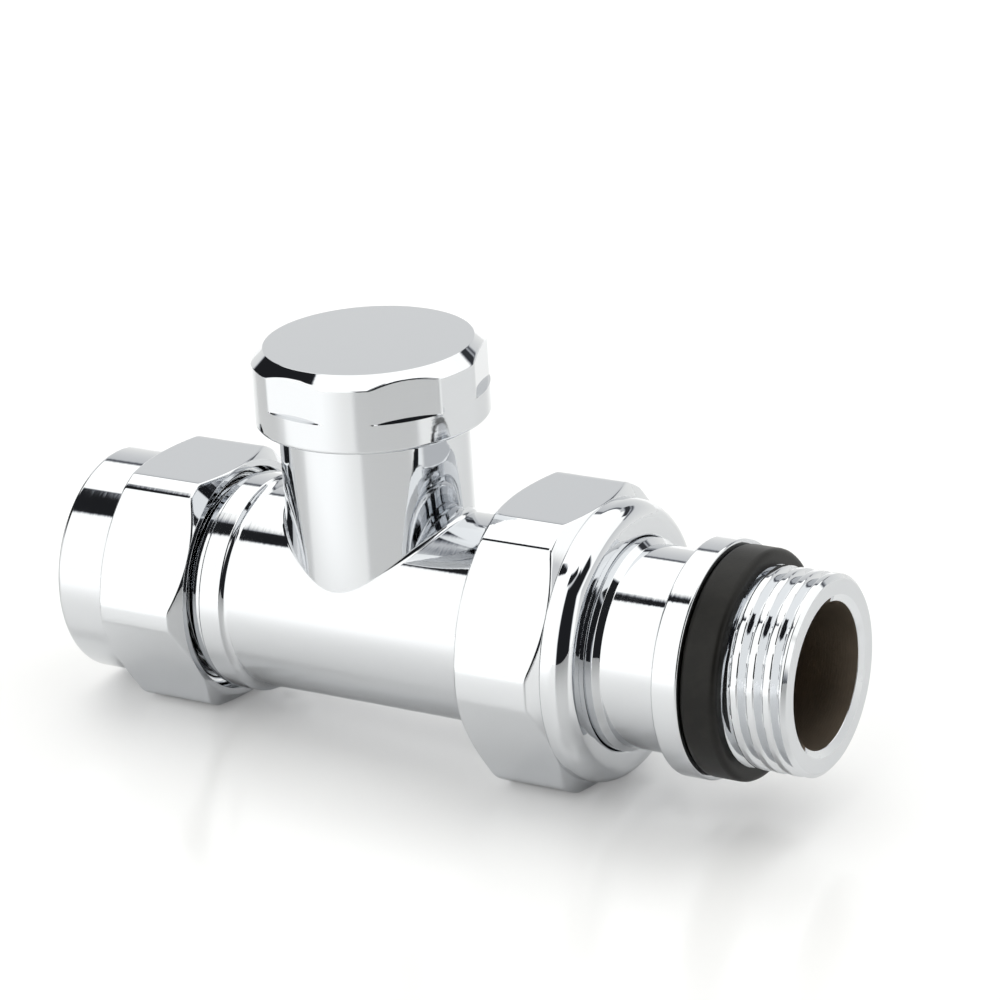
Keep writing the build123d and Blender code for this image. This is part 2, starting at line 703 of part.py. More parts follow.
# ---------------------------------------------------------------- one STEP file for each piece
pieces = {
    "valve_body": valve_body.part,
    "pipe_nut": pipe_nut.part,
    "olive": olive.part,
    "union_nut": union_nut.part,
    "union_snap_ring": union_snap_ring.part,
    "union_o_ring": union_o_ring.part,
    "tailpiece": tailpiece.part,
    "radiator_seal_ring": radiator_seal_ring.part,
    "headwork": headwork.part,
    "headwork_o_ring": headwork_o_ring.part,
    "spindle_circlip": spindle_circlip.part,
    "spindle": spindle.part,
    "valve_plug": valve_plug.part,
    "plug_clip": plug_clip.part,
    "seat_washer": seat_washer.part,
    "washer_screw": washer_screw.part,
    "cap": cap.part,
    "cap_washer": cap_washer.part,
}
pieces.update(spindle_rings)
for name, piece in pieces.items():
    piece.label = name
    export_step(piece, f"parts/{name}.step")
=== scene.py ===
# %% [markdown]
# # A straight lockshield radiator valve, dressed for a product picture
# The engineering model arrives as plain solids, each on the body that it moves with. This
# notebook gives every solid its real surface: polished chrome outside, machined brass inside,
# black rubber where it seals. Lengths are written in millimetres and turned to metres once,
# when a mesh is made.

# %% Load the frame
import json
import math

import bmesh
import bpy
import numpy as np
from mathutils import Matrix, Vector
from mathutils.kdtree import KDTree

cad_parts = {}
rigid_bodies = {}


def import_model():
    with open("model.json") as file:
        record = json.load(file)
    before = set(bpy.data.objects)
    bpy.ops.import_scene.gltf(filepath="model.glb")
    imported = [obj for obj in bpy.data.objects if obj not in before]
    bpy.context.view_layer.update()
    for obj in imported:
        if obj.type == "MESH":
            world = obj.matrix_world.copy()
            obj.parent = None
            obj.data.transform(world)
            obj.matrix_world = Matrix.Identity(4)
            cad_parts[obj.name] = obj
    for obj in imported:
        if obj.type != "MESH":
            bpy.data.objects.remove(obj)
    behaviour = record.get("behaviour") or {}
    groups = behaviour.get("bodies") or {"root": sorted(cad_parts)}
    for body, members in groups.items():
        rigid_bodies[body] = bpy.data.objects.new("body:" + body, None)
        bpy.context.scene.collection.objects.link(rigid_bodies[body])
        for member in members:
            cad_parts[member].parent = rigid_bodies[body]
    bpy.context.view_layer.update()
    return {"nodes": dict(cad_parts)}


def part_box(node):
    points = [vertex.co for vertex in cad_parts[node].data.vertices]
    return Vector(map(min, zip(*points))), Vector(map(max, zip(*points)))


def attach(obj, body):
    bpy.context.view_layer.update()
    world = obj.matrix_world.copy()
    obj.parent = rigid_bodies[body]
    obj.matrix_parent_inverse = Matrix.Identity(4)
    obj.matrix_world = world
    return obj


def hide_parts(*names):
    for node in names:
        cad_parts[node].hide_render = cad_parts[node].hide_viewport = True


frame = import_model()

MM = 0.001
scene = bpy.context.scene


# %% [markdown]
# ## Reading sizes from the solids
# Every piece sits where its solid sits, so the places along the two axes are read from the
# solids' boxes. The pipe axis is X, and the neck's axis is vertical, through the middle of the
# cap.

# %% Places along the axes
def reach(node, axis):
    """Lowest and highest place of a solid along an axis, in millimetres."""
    low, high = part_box(node)
    return low[axis] / MM, high[axis] / MM


NECK_X = sum(reach("cap", 0)) / 2
PIPE_NUT = reach("pipe_nut", 0)
UNION_NUT = reach("union_nut", 0)
BODY = reach("valve_body", 0)
NECK_TOP = reach("valve_body", 2)[1]
print("neck axis at x =", round(NECK_X, 2), "mm, union nut from", [round(x, 2) for x in UNION_NUT])

# %% [markdown]
# A few sizes belong to more than one piece, because one is screwed, pushed or laid into the
# other. Pipe threads have 14 turns to the inch. The cap's thread is finer.

# %% Sizes that pieces share
PIPE_PITCH, CAP_PITCH = 25.4 / 14, 1.0
G_HALF_R = 20.955 / 2               # crests of the G 1/2 thread
G_THREE_QUARTER_R = 26.441 / 2      # crests of the G 3/4 thread
SOCKET_R = 7.6                      # what the 15 mm pipe slides into
SLEEVE = 6.4                        # length of the pipe nut's round end
print("threads measure", 2 * G_HALF_R, "and", 2 * G_THREE_QUARTER_R, "mm over their crests")


# %% [markdown]
# ## Camera
# A long lens from a little above and to the right of the front, as a product picture has. The
# camera leans a few degrees, because the valve does not lie level: it rests on its two nuts,
# and the union nut is the larger one.

# %% Camera
LENS, SENSOR = 143.46, 36.0
LOOK_AT, DISTANCE = Vector((-30.54, 0, 13.70)), 414.69
AZIMUTH, ELEVATION, ROLL = 31.24, 21.14, -3.52


def camera_axes(azimuth, elevation, roll):
    """Right, up and back vectors of a camera that looks at the valve from a direction."""
    a, e, r = (math.radians(angle) for angle in (azimuth, elevation, roll))
    back = Vector((math.sin(a) * math.cos(e), -math.cos(a) * math.cos(e), math.sin(e)))
    level = Vector((math.cos(a), math.sin(a), 0))
    upright = back.cross(level)
    right = math.cos(r) * level + math.sin(r) * upright
    return right, back.cross(right), back


camera = bpy.data.objects.new("camera", bpy.data.cameras.new("camera"))
scene.collection.objects.link(camera)
camera.data.sensor_width = SENSOR
camera.data.lens = LENS
camera.data.clip_start = 10 * MM
axes = camera_axes(AZIMUTH, ELEVATION, ROLL)
place = Matrix.Translation(LOOK_AT * MM + axes[2] * DISTANCE * MM)
camera.matrix_world = place @ Matrix(axes).transposed().to_4x4()
scene.camera = camera
print("camera at", [round(v, 3) for v in camera.matrix_world.translation])

# %% [markdown]
# ## Nodes and colours
# Materials, the studio and the Geometry Nodes trees are all node trees, so one small function
# adds a node, sets it up and links it. Where several inputs share a name they are picked by
# number: a Mix node has its factor at 0, plain values at 2 and 3, and colours at 6 and 7.
# Colours are chosen as sRGB hex values, as a paint chart gives them, and Blender works in
# linear light, so one function turns them over.

# %% Node and colour helpers
MATH, RANGE, MIX = "ShaderNodeMath", "ShaderNodeMapRange", "ShaderNodeMix"
NOISE, BUMP, SPLIT = "ShaderNodeTexNoise", "ShaderNodeBump", "ShaderNodeSeparateXYZ"
SMOOTH = {"interpolation_type": "SMOOTHSTEP"}


def add(tree, kind, *values, at=None, **settings):
    """Add a node. Values fill its inputs in order, and at fills them by name or number.

    A value is plain, or a socket, or a node, whose first output is then linked.
    """
    node = tree.nodes.new(kind)
    for name, setting in settings.items():
        setattr(node, name, setting)
    for key, value in [*enumerate(values), *(at or {}).items()]:
        if isinstance(value, bpy.types.Node):
            value = value.outputs[0]
        if isinstance(value, bpy.types.NodeSocket):
            tree.links.new(value, node.inputs[key])
        else:
            node.inputs[key].default_value = value
    return node


def linear(hex_colour):
    """Linear RGBA of an sRGB hex colour."""
    channels = [int(hex_colour[i : i + 2], 16) / 255 for i in (1, 3, 5)]
    light = [c / 12.92 if c <= 0.04045 else ((c + 0.055) / 1.055) ** 2.4 for c in channels]
    return (*light, 1.0)


print("white paper is", [round(c, 3) for c in linear("#F2F2F0")[:3]], "in linear light")

# %% [markdown]
# ## The studio
# Polished chrome has almost no colour of its own: what it shows is the room. A product studio
# therefore builds the room: a large white diffuser in front, a white one overhead, pale grey
# walls, and black cards that draw the crisp dark lines which make metal look like metal. Every
# card is a patch of directions, in azimuth (0 is the front, positive to the right) and
# elevation. A later card covers an earlier one. Lamps and glowing boards would do the same, but
# directions have no objects that could get in the camera's way when it walks around the valve.

# %% Studio cards
ALL_ROUND = 400         # degrees, safely past the seam at the back
# brightness, azimuth from and to, elevation from and to, and softness of the edge, in degrees
STUDIO_CARDS = [
    ("overhead diffuser", 1.52, -ALL_ROUND, ALL_ROUND, 36, 100, 1.5),
    ("right diffuser", 1.40, 80, 168, 23, 40, 1.5),
    ("wall edge", 0.12, -ALL_ROUND, -100, 32.5, 35.5, 1.5),
    ("right wall edge", 0.12, 146, 178, 20.5, 23.5, 1.5),
    ("back black strip", 0.05, 153, ALL_ROUND, 24, 31, 1.5),
    ("front diffuser", 1.42, -61, 90, -15, 60, 3.0),
    ("left black card", 0.02, -92, -63, 17, 56.5, 1.5),
    ("foot of left card", 0.02, -114, -88, 3, 37, 1.5),
    ("corner of left card", 0.02, -66, -56.5, 45, 57, 1.5),
    ("top of left card", 0.02, -73, -56.5, 54.5, 61.5, 1.2),
    ("top black card", 0.02, -2, 60, 60, 70, 2.0),
    ("camera opening", 0.02, 16, 76, -12, 58, 3.0),
    ("shoulder of opening", 0.02, 68, 103, 30, 52, 2.5),
]
WALL_LEVEL = 1.0        # the wall at the horizon
WALL_FALL = 0.009       # darker by this for each degree up
WALL_LEAST = 0.3
print("studio cards:", ", ".join(card[0] for card in STUDIO_CARDS))

# %% [markdown]
# The room becomes a world shader that says how bright each direction is. Dark parts of a room
# look cooler than its lamps, so the brightness also chooses the tint. The camera itself sees
# plain white.

# %% The room as a world shader
world = bpy.data.worlds.new("studio")
scene.world = world
world.use_nodes = True
sky = world.node_tree
sky.nodes.clear()
direction = add(sky, "ShaderNodeTexCoord").outputs["Generated"]
to_right, to_back, upward = add(sky, SPLIT, direction).outputs
to_front = add(sky, MATH, to_back, -1, operation="MULTIPLY")
bearing = add(sky, MATH, to_right, to_front, operation="ARCTAN2")
azimuth = add(sky, MATH, bearing, operation="DEGREES")
elevation = add(sky, MATH, add(sky, MATH, upward, operation="ARCSINE"), operation="DEGREES")


def inside(value, low, high, soft):
    """1 where the value lies between low and high, with soft edges, and 0 elsewhere."""
    rise = add(sky, RANGE, value, low - soft, low + soft, **SMOOTH)
    fall = add(sky, RANGE, value, high - soft, high + soft, **SMOOTH)
    return add(sky, MATH, rise, fall, operation="SUBTRACT")


wall = add(sky, MATH, elevation, -WALL_FALL, WALL_LEVEL, operation="MULTIPLY_ADD")
brightness = add(sky, MATH, wall, WALL_LEAST, operation="MAXIMUM")
for _, level, az_from, az_to, el_from, el_to, soft in STUDIO_CARDS:
    in_azimuth = inside(azimuth, az_from, az_to, soft)
    in_elevation = inside(elevation, el_from, el_to, soft)
    mask = add(sky, MATH, in_azimuth, in_elevation, operation="MULTIPLY")
    brightness = add(sky, MIX, at={0: mask, 2: brightness, 3: level}, data_type="FLOAT")
COOL, WARM = linear("#EEF3FF"), linear("#FFFFFC")
warmth = add(sky, MATH, brightness, 1.0, operation="MINIMUM")
tint = add(sky, MIX, at={0: warmth, 6: COOL, 7: WARM}, data_type="RGBA")
room = add(sky, "ShaderNodeBackground", tint.outputs[2], brightness)
white = add(sky, "ShaderNodeBackground", linear("#FFFFFF"), 1.0)
seen = add(sky, "ShaderNodeLightPath").outputs["Is Camera Ray"]
add(sky, "ShaderNodeOutputWorld", add(sky, "ShaderNodeMixShader", seen, room, white))
scene.view_settings.view_transform = "Standard"
print("the room is made of", len(sky.nodes), "nodes")

# %% [markdown]
# ## The floor
# The valve lies on a glossy white sheet, which keeps a soft shadow and a blurred mirror image.
# One large square is enough for it, because its finish does the rest. The sheet touches one
# edge of each hexagon, so it slopes a little in the valve's own frame.

# %% Floor
FLOOR_HALF = 6000.0
pipe_foot = (PIPE_NUT[0] + SLEEVE, reach("pipe_nut", 2)[0])
union_foot = (UNION_NUT[0], reach("union_nut", 2)[0])
slope = (union_foot[1] - pipe_foot[1]) / (union_foot[0] - pipe_foot[0])


def on_floor(x, y):
    """Point of the sheet at a place in plan, in metres."""
    return x * MM, y * MM, (pipe_foot[1] + slope * (x - pipe_foot[0])) * MM


plan = [(-1, -1), (1, -1), (1, 1), (-1, 1)]
floor_mesh = bpy.data.meshes.new("floor")
floor_mesh.from_pydata(
    [on_floor(sx * FLOOR_HALF, sy * FLOOR_HALF) for sx, sy in plan], [], [(0, 1, 2, 3)]
)
floor = bpy.data.objects.new("floor", floor_mesh)
scene.collection.objects.link(floor)
print("floor slopes", round(math.degrees(math.atan(slope)), 2), "degrees along X")

# %% [markdown]
# **White acrylic.** Cast acrylic has a hard gloss over a milky white. Lit by the room alone the
# sheet comes out a little grey, so it glows faintly: for the camera everywhere, and for the
# chrome only towards the left and away from the pipe, so that the pipe nut and the run mirror a
# bright floor there while the valve keeps its own dark reflection close by.

# %% Floor material
SEEN_GLOW, MIRRORED_GLOW = 0.17, 0.28
GLOW_FROM, GLOW_TO = NECK_X + 25, NECK_X - 40       # along X, growing to the left
CLEAR_FROM, CLEAR_TO = 25, 70                       # distance from the pipe axis

acrylic = bpy.data.materials.new("white_acrylic")
acrylic.use_nodes = True
tree = acrylic.node_tree
sheet = tree.nodes["Principled BSDF"]
sheet.inputs["Base Color"].default_value = linear("#FCFCFC")
sheet.inputs["Roughness"].default_value = 0.2
sheet.inputs["IOR"].default_value = 2.1     # above acrylic's 1.49, for a stronger mirror image
along, across, _ = add(tree, SPLIT, add(tree, "ShaderNodeTexCoord").outputs["Object"]).outputs
distance = add(tree, MATH, across, operation="ABSOLUTE")
to_left = add(tree, RANGE, along, GLOW_FROM * MM, GLOW_TO * MM, **SMOOTH)
off_pipe = add(tree, RANGE, distance, CLEAR_FROM * MM, CLEAR_TO * MM, **SMOOTH)
lit_place = add(tree, MATH, to_left, off_pipe, operation="MULTIPLY")
mirrored = add(tree, MATH, lit_place, MIRRORED_GLOW, operation="MULTIPLY")
path = add(tree, "ShaderNodeLightPath").outputs
for_chrome = add(tree, MATH, path["Is Glossy Ray"], mirrored, operation="MULTIPLY")
glow = add(tree, MATH, path["Is Camera Ray"], SEEN_GLOW, for_chrome, operation="MULTIPLY_ADD")
lamp = add(tree, "ShaderNodeEmission", linear("#FFFFFF"), glow)
lit = add(tree, "ShaderNodeAddShader", sheet, lamp)
tree.links.new(lit.outputs[0], tree.nodes["Material Output"].inputs["Surface"])
floor_mesh.materials.append(acrylic)
print("floor material:", acrylic.name)

# %% [markdown]
# ## Turning
# Almost every piece of a valve is turned on a lathe from hexagon or round bar, so the first
# tool is a lathe. A section is a list of (height along the axis, radius, rounding). Real turned
# corners are broken by polishing, and a mirror finish shows it, so each corner gets its small
# arc. A short extra row on both sides of an arc keeps the long faces beside it optically flat.

# %% Rounded corners
ARC_STEPS = 5
ARC_SHARE = 0.45        # an arc takes at most this share of a side
SUPPORT = 0.03          # width of the rows that keep flat faces flat
SUPPORT_SHARE = 0.04    # and their largest share of a side
NOTHING = 1e-6          # a side or a radius below this counts as none


def rounded(section):
    """Section points with each corner of a given radius replaced by an arc."""
    points = []
    count = len(section)
    for i, (h, r, radius) in enumerate(section):
        here = np.array((h, r), float)
        before = np.array(section[i - 1][:2], float) - here
        after = np.array(section[(i + 1) % count][:2], float) - here
        before_length, after_length = np.linalg.norm(before), np.linalg.norm(after)
        if radius <= 0 or min(before_length, after_length) < NOTHING:
            points.append(tuple(here))
            continue
        before, after = before / before_length, after / after_length
        turn = math.acos(float(np.clip(before @ after, -1, 1)))
        longest = ARC_SHARE * min(before_length, after_length)
        cut = min(radius / math.tan(turn / 2), longest)
        arc_radius = cut * math.tan(turn / 2)
        middle = before + after
        centre = here + middle / np.linalg.norm(middle) * arc_radius / math.sin(turn / 2)
        start, end = here + before * cut - centre, here + after * cut - centre
        room_before = min(SUPPORT, SUPPORT_SHARE * before_length)
        room_after = min(SUPPORT, SUPPORT_SHARE * after_length)
        points.append(tuple(here + before * (cut + room_before)))
        sweep = math.acos(float(np.clip(start @ end / arc_radius**2, -1, 1)))
        for k in range(ARC_STEPS + 1):
            t = k / ARC_STEPS
            arc = (math.sin((1 - t) * sweep) * start + math.sin(t * sweep) * end) / math.sin(sweep)
            points.append(tuple(centre + arc))
        points.append(tuple(here + after * (cut + room_after)))
    return points


def open_section(section):
    """Rounded points of a section that does not close; its two ends stay sharp."""
    (h0, r0, _), (h1, r1, _) = section[0], section[-1]
    return rounded([(h0, r0, 0), *section[1:-1], (h1, r1, 0)])


print("a rounded corner becomes", ARC_STEPS + 3, "points")


# %% [markdown]
# A cutter can only move points that are there, so a blank gets extra rows where flats or a
# thread will be cut.

# %% Extra rows
ENOUGH_STEPS = 1.5      # a side gets rows where a span covers more steps than this
TOO_CLOSE = 1e-4        # share of a side, near its ends, where a row would repeat a corner


def divided(points, spans):
    """Points with extra rows in spans of (from height, to height, step, least radius)."""
    out = []
    for (h0, r0), (h1, r1) in zip(points, points[1:] + points[:1]):
        out.append((h0, r0))
        marks = []
        for low, high, step, least in spans:
            a, b = max(min(h0, h1), low), min(max(h0, h1), high)
            if b - a > ENOUGH_STEPS * step and min(r0, r1) > least:
                marks += list(np.linspace(a, b, int((b - a) / step) + 1))
        for mark in sorted(set(round(m, 5) for m in marks), reverse=h1 < h0):
            t = (mark - h0) / (h1 - h0)
            if TOO_CLOSE < t < 1 - TOO_CLOSE:
                out.append((mark, r0 + t * (r1 - r0)))
    return out


print("rows are added where a span covers more than", ENOUGH_STEPS, "of its steps")


# %% [markdown]
# The section is turned about Z, like work in a chuck, and where it meets the axis it closes in
# a pole. Blender's Screw modifier would turn it too, but would need its seam and its poles
# merged afterwards. Whichever way round a section was written, its faces end up pointing
# outwards.

# %% Lathe
def face_out(mesh):
    """Turn a closed mesh's faces outwards, by the sign of its volume."""
    mesh.calc_loop_triangles()
    co = np.empty(len(mesh.vertices) * 3)
    mesh.vertices.foreach_get("co", co)
    co = co.reshape(-1, 3)
    tri = np.empty(len(mesh.loop_triangles) * 3, int)
    mesh.loop_triangles.foreach_get("vertices", tri)
    a, b, c = (co[tri.reshape(-1, 3)[:, k]] for k in range(3))
    if np.einsum("ij,ij->i", a, np.cross(b, c)).sum() < 0:
        mesh.flip_normals()
    mesh.shade_smooth()


def turned_mesh(name, points, segments):
    """Mesh of a closed section turned about Z; points on the axis close to a pole."""
    angles = np.arange(segments) * 2 * math.pi / segments
    cos, sin = np.cos(angles), np.sin(angles)
    verts, rings = [], []
    for h, r in points:
        if r < NOTHING:
            rings.append([len(verts)])
            verts.append((0, 0, h * MM))
        else:
            rings.append(list(range(len(verts), len(verts) + segments)))
            verts += [(r * c * MM, r * s * MM, h * MM) for c, s in zip(cos, sin)]
    faces = []
    for a, b in zip(rings, rings[1:] + rings[:1]):
        if len(a) == 1 and len(b) == 1:
            continue
        for k in range(segments):
            n = (k + 1) % segments
            if len(a) == 1:
                faces.append((a[0], b[n], b[k]))
            elif len(b) == 1:
                faces.append((a[k], a[n], b[0]))
            else:
                faces.append((a[k], a[n], b[n], b[k]))
    mesh = bpy.data.meshes.new(name)
    mesh.from_pydata(verts, [], faces)
    face_out(mesh)
    return mesh


print("lathe ready: corners get", ARC_STEPS, "facets")

# %% [markdown]
# ## Cutters made with Geometry Nodes
# Two shapes on this valve follow a rule: flats milled on a round blank, and screw threads. Both
# could be modelled by hand, but a rule is exact and can be used again. Each cutter below is a
# Geometry Nodes tree that moves the points of a turned blank towards the axis, as the real tool
# removes metal, so the chamfers that were turned first stay where the cutter does not reach.

# %% A tree that cuts a blank by a rule
LEAST_RADIUS = 1e-6     # metres, so that nothing is divided by zero on the axis


def cutter_tree(name, sizes):
    """Start a tree with named sizes; returns it with its inputs and each point's place."""
    tree = bpy.data.node_groups.new(name, "GeometryNodeTree")
    face = tree.interface
    face.new_socket("Geometry", in_out="INPUT", socket_type="NodeSocketGeometry")
    face.new_socket("Geometry", in_out="OUTPUT", socket_type="NodeSocketGeometry")
    for size in [*sizes, "From", "To"]:
        face.new_socket(size, in_out="INPUT", socket_type="NodeSocketFloat")
    face.new_socket("Material", in_out="INPUT", socket_type="NodeSocketMaterial")
    given = add(tree, "NodeGroupInput").outputs
    x, y, z = add(tree, SPLIT, add(tree, "GeometryNodeInputPosition")).outputs
    y_square = add(tree, MATH, y, y, operation="MULTIPLY")
    square = add(tree, MATH, x, x, y_square, operation="MULTIPLY_ADD")
    radius = add(tree, MATH, square, operation="SQRT")
    angle = add(tree, MATH, y, x, operation="ARCTAN2")
    return tree, given, {"x": x, "y": y, "height": z, "radius": radius, "angle": angle}


def finish_cutter(tree, given, place, new_radius, tests=()):
    """Move the points that pass every test out to a new radius, and close the tree."""
    old_radius = add(tree, MATH, place["radius"], LEAST_RADIUS, operation="MAXIMUM")
    scale = add(tree, MATH, new_radius, old_radius, operation="DIVIDE")
    new_x = add(tree, MATH, place["x"], scale, operation="MULTIPLY")
    new_y = add(tree, MATH, place["y"], scale, operation="MULTIPLY")
    moved = add(tree, "ShaderNodeCombineXYZ", new_x, new_y, place["height"])
    above = add(tree, MATH, place["height"], given["From"], operation="GREATER_THAN")
    below = add(tree, MATH, place["height"], given["To"], operation="LESS_THAN")
    chosen = add(tree, MATH, above, below, operation="MULTIPLY")
    for test in tests:
        chosen = add(tree, MATH, chosen, test, operation="MULTIPLY")
    cut = add(tree, "GeometryNodeSetPosition", given["Geometry"], chosen, moved)
    whole = add(tree, "GeometryNodeRealizeInstances", cut)
    painted = add(tree, "GeometryNodeSetMaterial", whole, at={"Material": given["Material"]})
    add(tree, "NodeGroupOutput", painted)
    print(f"{tree.name}: {len(tree.nodes)} nodes")
    return tree


# %% [markdown]
# A spanner flat is a plane, so in polar form its radius is half the width across flats, divided
# by the cosine of the angle from the flat's middle. The smaller of blank and flat is what is
# left. A smooth minimum rounds the edge between them, as a polishing wheel does.

# %% Flats cutter
tree, given, place = cutter_tree("milled_flats", ["Across Flats", "Flats", "Turn", "Edge Round"])
sector = add(tree, MATH, 2 * math.pi, given["Flats"], operation="DIVIDE")
half_sector = add(tree, MATH, sector, 2, operation="DIVIDE")
turned = add(tree, MATH, place["angle"], given["Turn"], operation="SUBTRACT")
in_sector = add(tree, MATH, turned, sector, operation="FLOORED_MODULO")
off_middle = add(tree, MATH, in_sector, half_sector, operation="SUBTRACT")
half_across = add(tree, MATH, given["Across Flats"], 2, operation="DIVIDE")
slant = add(tree, MATH, off_middle, operation="COSINE")
flat = add(tree, MATH, half_across, slant, operation="DIVIDE")
milled = add(tree, MATH, place["radius"], flat, given["Edge Round"], operation="SMOOTH_MIN")
MILLED_FLATS = finish_cutter(tree, given, place, milled)

# %% [markdown]
# A screw thread is the same profile met again after each pitch, and turned a little further at
# every step along. Pipe threads and metric threads both have a V profile with its tips taken
# off. The cutter measures how far a point is from the middle of the root, makes the V, and
# rounds it.

# %% Profile of the thread
ROOT_HALF = 0.04        # half the root, as a share of the pitch
CREST_SHARE = 0.40      # plating and polishing leave broad crests
TIP_ROUND = 0.25        # as a share of the depth

tree, given, place = cutter_tree(
    "screw_thread",
    ["Crest Radius", "Pitch", "Depth", "Crest Share", "Run Out Low", "Run Out High", "Inside"],
)
turns = add(tree, MATH, place["angle"], 2 * math.pi, operation="DIVIDE")
pitches = add(tree, MATH, place["height"], given["Pitch"], operation="DIVIDE")
phase = add(tree, MATH, pitches, turns, operation="SUBTRACT")
share = add(tree, MATH, phase, operation="FRACT")
off_root = add(tree, MATH, share, 0.5, operation="SUBTRACT")
wave = add(tree, MATH, off_root, operation="ABSOLUTE")
half_crest = add(tree, MATH, given["Crest Share"], 2, operation="DIVIDE")
flank = add(tree, MATH, 0.5 - ROOT_HALF, half_crest, operation="SUBTRACT")
up_flank = add(tree, MATH, wave, ROOT_HALF, operation="SUBTRACT")
vee = add(tree, MATH, up_flank, flank, operation="DIVIDE")      # 0 at the root, 1 at the crest
vee = add(tree, MATH, vee, 1.0, TIP_ROUND, operation="SMOOTH_MIN")
vee = add(tree, MATH, vee, 0.0, TIP_ROUND, operation="SMOOTH_MAX")
print("the root is", 2 * ROOT_HALF, "and the crest", CREST_SHARE, "of the pitch")

# %% [markdown]
# The cutter then takes the blank down to the profile, less and less deep where the thread runs
# out. A nut's thread is the same surface seen from inside, so the larger of blank and cutter is
# kept there. Points far below the roots or outside the crests belong to other faces and stay.

# %% Thread cutter
BELOW_ROOT = 1.3        # depths below the crest that the cutter still takes points from
OVER_CREST = 0.02       # and millimetres above it

past_low = add(tree, MATH, place["height"], given["From"], operation="SUBTRACT")
to_high = add(tree, MATH, given["To"], place["height"], operation="SUBTRACT")
fade_low = add(tree, MATH, past_low, given["Run Out Low"], operation="DIVIDE")
fade_high = add(tree, MATH, to_high, given["Run Out High"], operation="DIVIDE")
nearest = add(tree, MATH, fade_low, fade_high, operation="MINIMUM")
fade = add(tree, MATH, nearest, 1.0, operation="MINIMUM")
full_depth = add(tree, MATH, given["Depth"], fade, operation="MULTIPLY")
under_crest = add(tree, MATH, 1.0, vee, operation="SUBTRACT")
depth = add(tree, MATH, full_depth, under_crest, operation="MULTIPLY")
profile = add(tree, MATH, given["Crest Radius"], depth, operation="SUBTRACT")
outside = add(tree, MATH, place["radius"], profile, operation="MINIMUM")
within = add(tree, MATH, place["radius"], profile, operation="MAXIMUM")
cut = add(tree, MIX, at={0: given["Inside"], 2: outside, 3: within}, data_type="FLOAT")
deepest = add(tree, MATH, given["Depth"], BELOW_ROOT, operation="MULTIPLY")
inner = add(tree, MATH, given["Crest Radius"], deepest, operation="SUBTRACT")
outer = add(tree, MATH, given["Crest Radius"], OVER_CREST * MM, operation="ADD")
not_inside = add(tree, MATH, place["radius"], inner, operation="GREATER_THAN")
not_outside = add(tree, MATH, place["radius"], outer, operation="LESS_THAN")
SCREW_THREAD = finish_cutter(tree, given, place, cut, [not_inside, not_outside])


# %% [markdown]
# A cutter's sizes are given by name, in metres and radians. They are set through each input's
# identifier before the piece is first evaluated. The evaluated result becomes a plain mesh, and
# the helper object that carried the modifiers is thrown away.

# %% Use the cutters
HALF_VEE = 27.5         # degrees, half a pipe thread's V; the cap's is drawn the same
SHARP_END = 0.01        # a thread that does not fade still needs some length to end in
CRISP = 38.0            # edges that turn by more degrees than this stay crisp


def flats(across, low, high, turn=-30.0, edge=0.25):
    """Six flats between two heights."""
    lengths = {"Across Flats": across, "From": low, "To": high, "Edge Round": edge}
    scaled = {name: value * MM for name, value in lengths.items()}
    return MILLED_FLATS, {**scaled, "Flats": 6.0, "Turn": math.radians(turn)}


def thread(crest, pitch, low, high, fade_low=0.0, fade_high=0.0, inside_bore=False):
    """A V thread between two heights, with the length over which it fades at each end."""
    flank_width = (0.5 - ROOT_HALF - CREST_SHARE / 2) * pitch
    lengths = {
        "Crest Radius": crest, "Pitch": pitch, "From": low, "To": high,
        "Depth": flank_width / math.tan(math.radians(HALF_VEE)),
        "Run Out Low": max(fade_low, SHARP_END), "Run Out High": max(fade_high, SHARP_END),
    }
    scaled = {name: value * MM for name, value in lengths.items()}
    return SCREW_THREAD, {**scaled, "Crest Share": CREST_SHARE, "Inside": float(inside_bore)}


def machined(mesh, cuts, material):
    """The blank after its cuts, as a plain mesh with the material."""
    blank = bpy.data.objects.new(mesh.name + "_blank", mesh)
    scene.collection.objects.link(blank)
    for tree, sizes in cuts:
        modifier = blank.modifiers.new(tree.name, "NODES")
        modifier.node_group = tree
        for item in tree.interface.items_tree:
            if item.in_out == "INPUT" and item.name in sizes:
                modifier[item.identifier] = sizes[item.name]
            elif item.in_out == "INPUT" and item.name == "Material":
                modifier[item.identifier] = material
    bpy.context.view_layer.update()
    evaluated = blank.evaluated_get(bpy.context.evaluated_depsgraph_get())
    result = bpy.data.meshes.new_from_object(evaluated)
    bpy.data.objects.remove(blank)
    if not cuts:
        result.materials.clear()
        result.materials.append(material)
    result.shade_smooth()
    result.set_sharp_from_angle(angle=math.radians(CRISP))
    return result


# %% [markdown]
# Pieces around the pipe are turned about Z and then laid along X. Pieces around the neck stay
# upright and move to the neck's axis. A finished piece rides the body that it moves with, and
# stands in for the solids that it dresses.

# %% Put a piece in its place
ALONG_PIPE = Matrix(((0, 0, 1, 0), (0, 1, 0, 0), (-1, 0, 0, 0), (0, 0, 0, 1)))
UP_NECK = Matrix.Translation((NECK_X * MM, 0, 0))


def piece(name, mesh, body, slot, *nodes):
    """Put a finished mesh into the scene as a piece of a body that replaces its solids."""
    mesh.name = name
    obj = bpy.data.objects.new(name, mesh)
    scene.collection.objects.link(obj)
    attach(obj, body)
    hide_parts(*nodes)
    print(f"{name}: {len(mesh.polygons)} faces on body {body}")


print("the neck stands at", [round(v, 4) for v in UP_NECK.translation])


# %% [markdown]
# ## Materials
# Each finish starts from a metal or a rubber with its usual roughness. Patterns are sized in
# millimetres, on the piece's own coordinates.

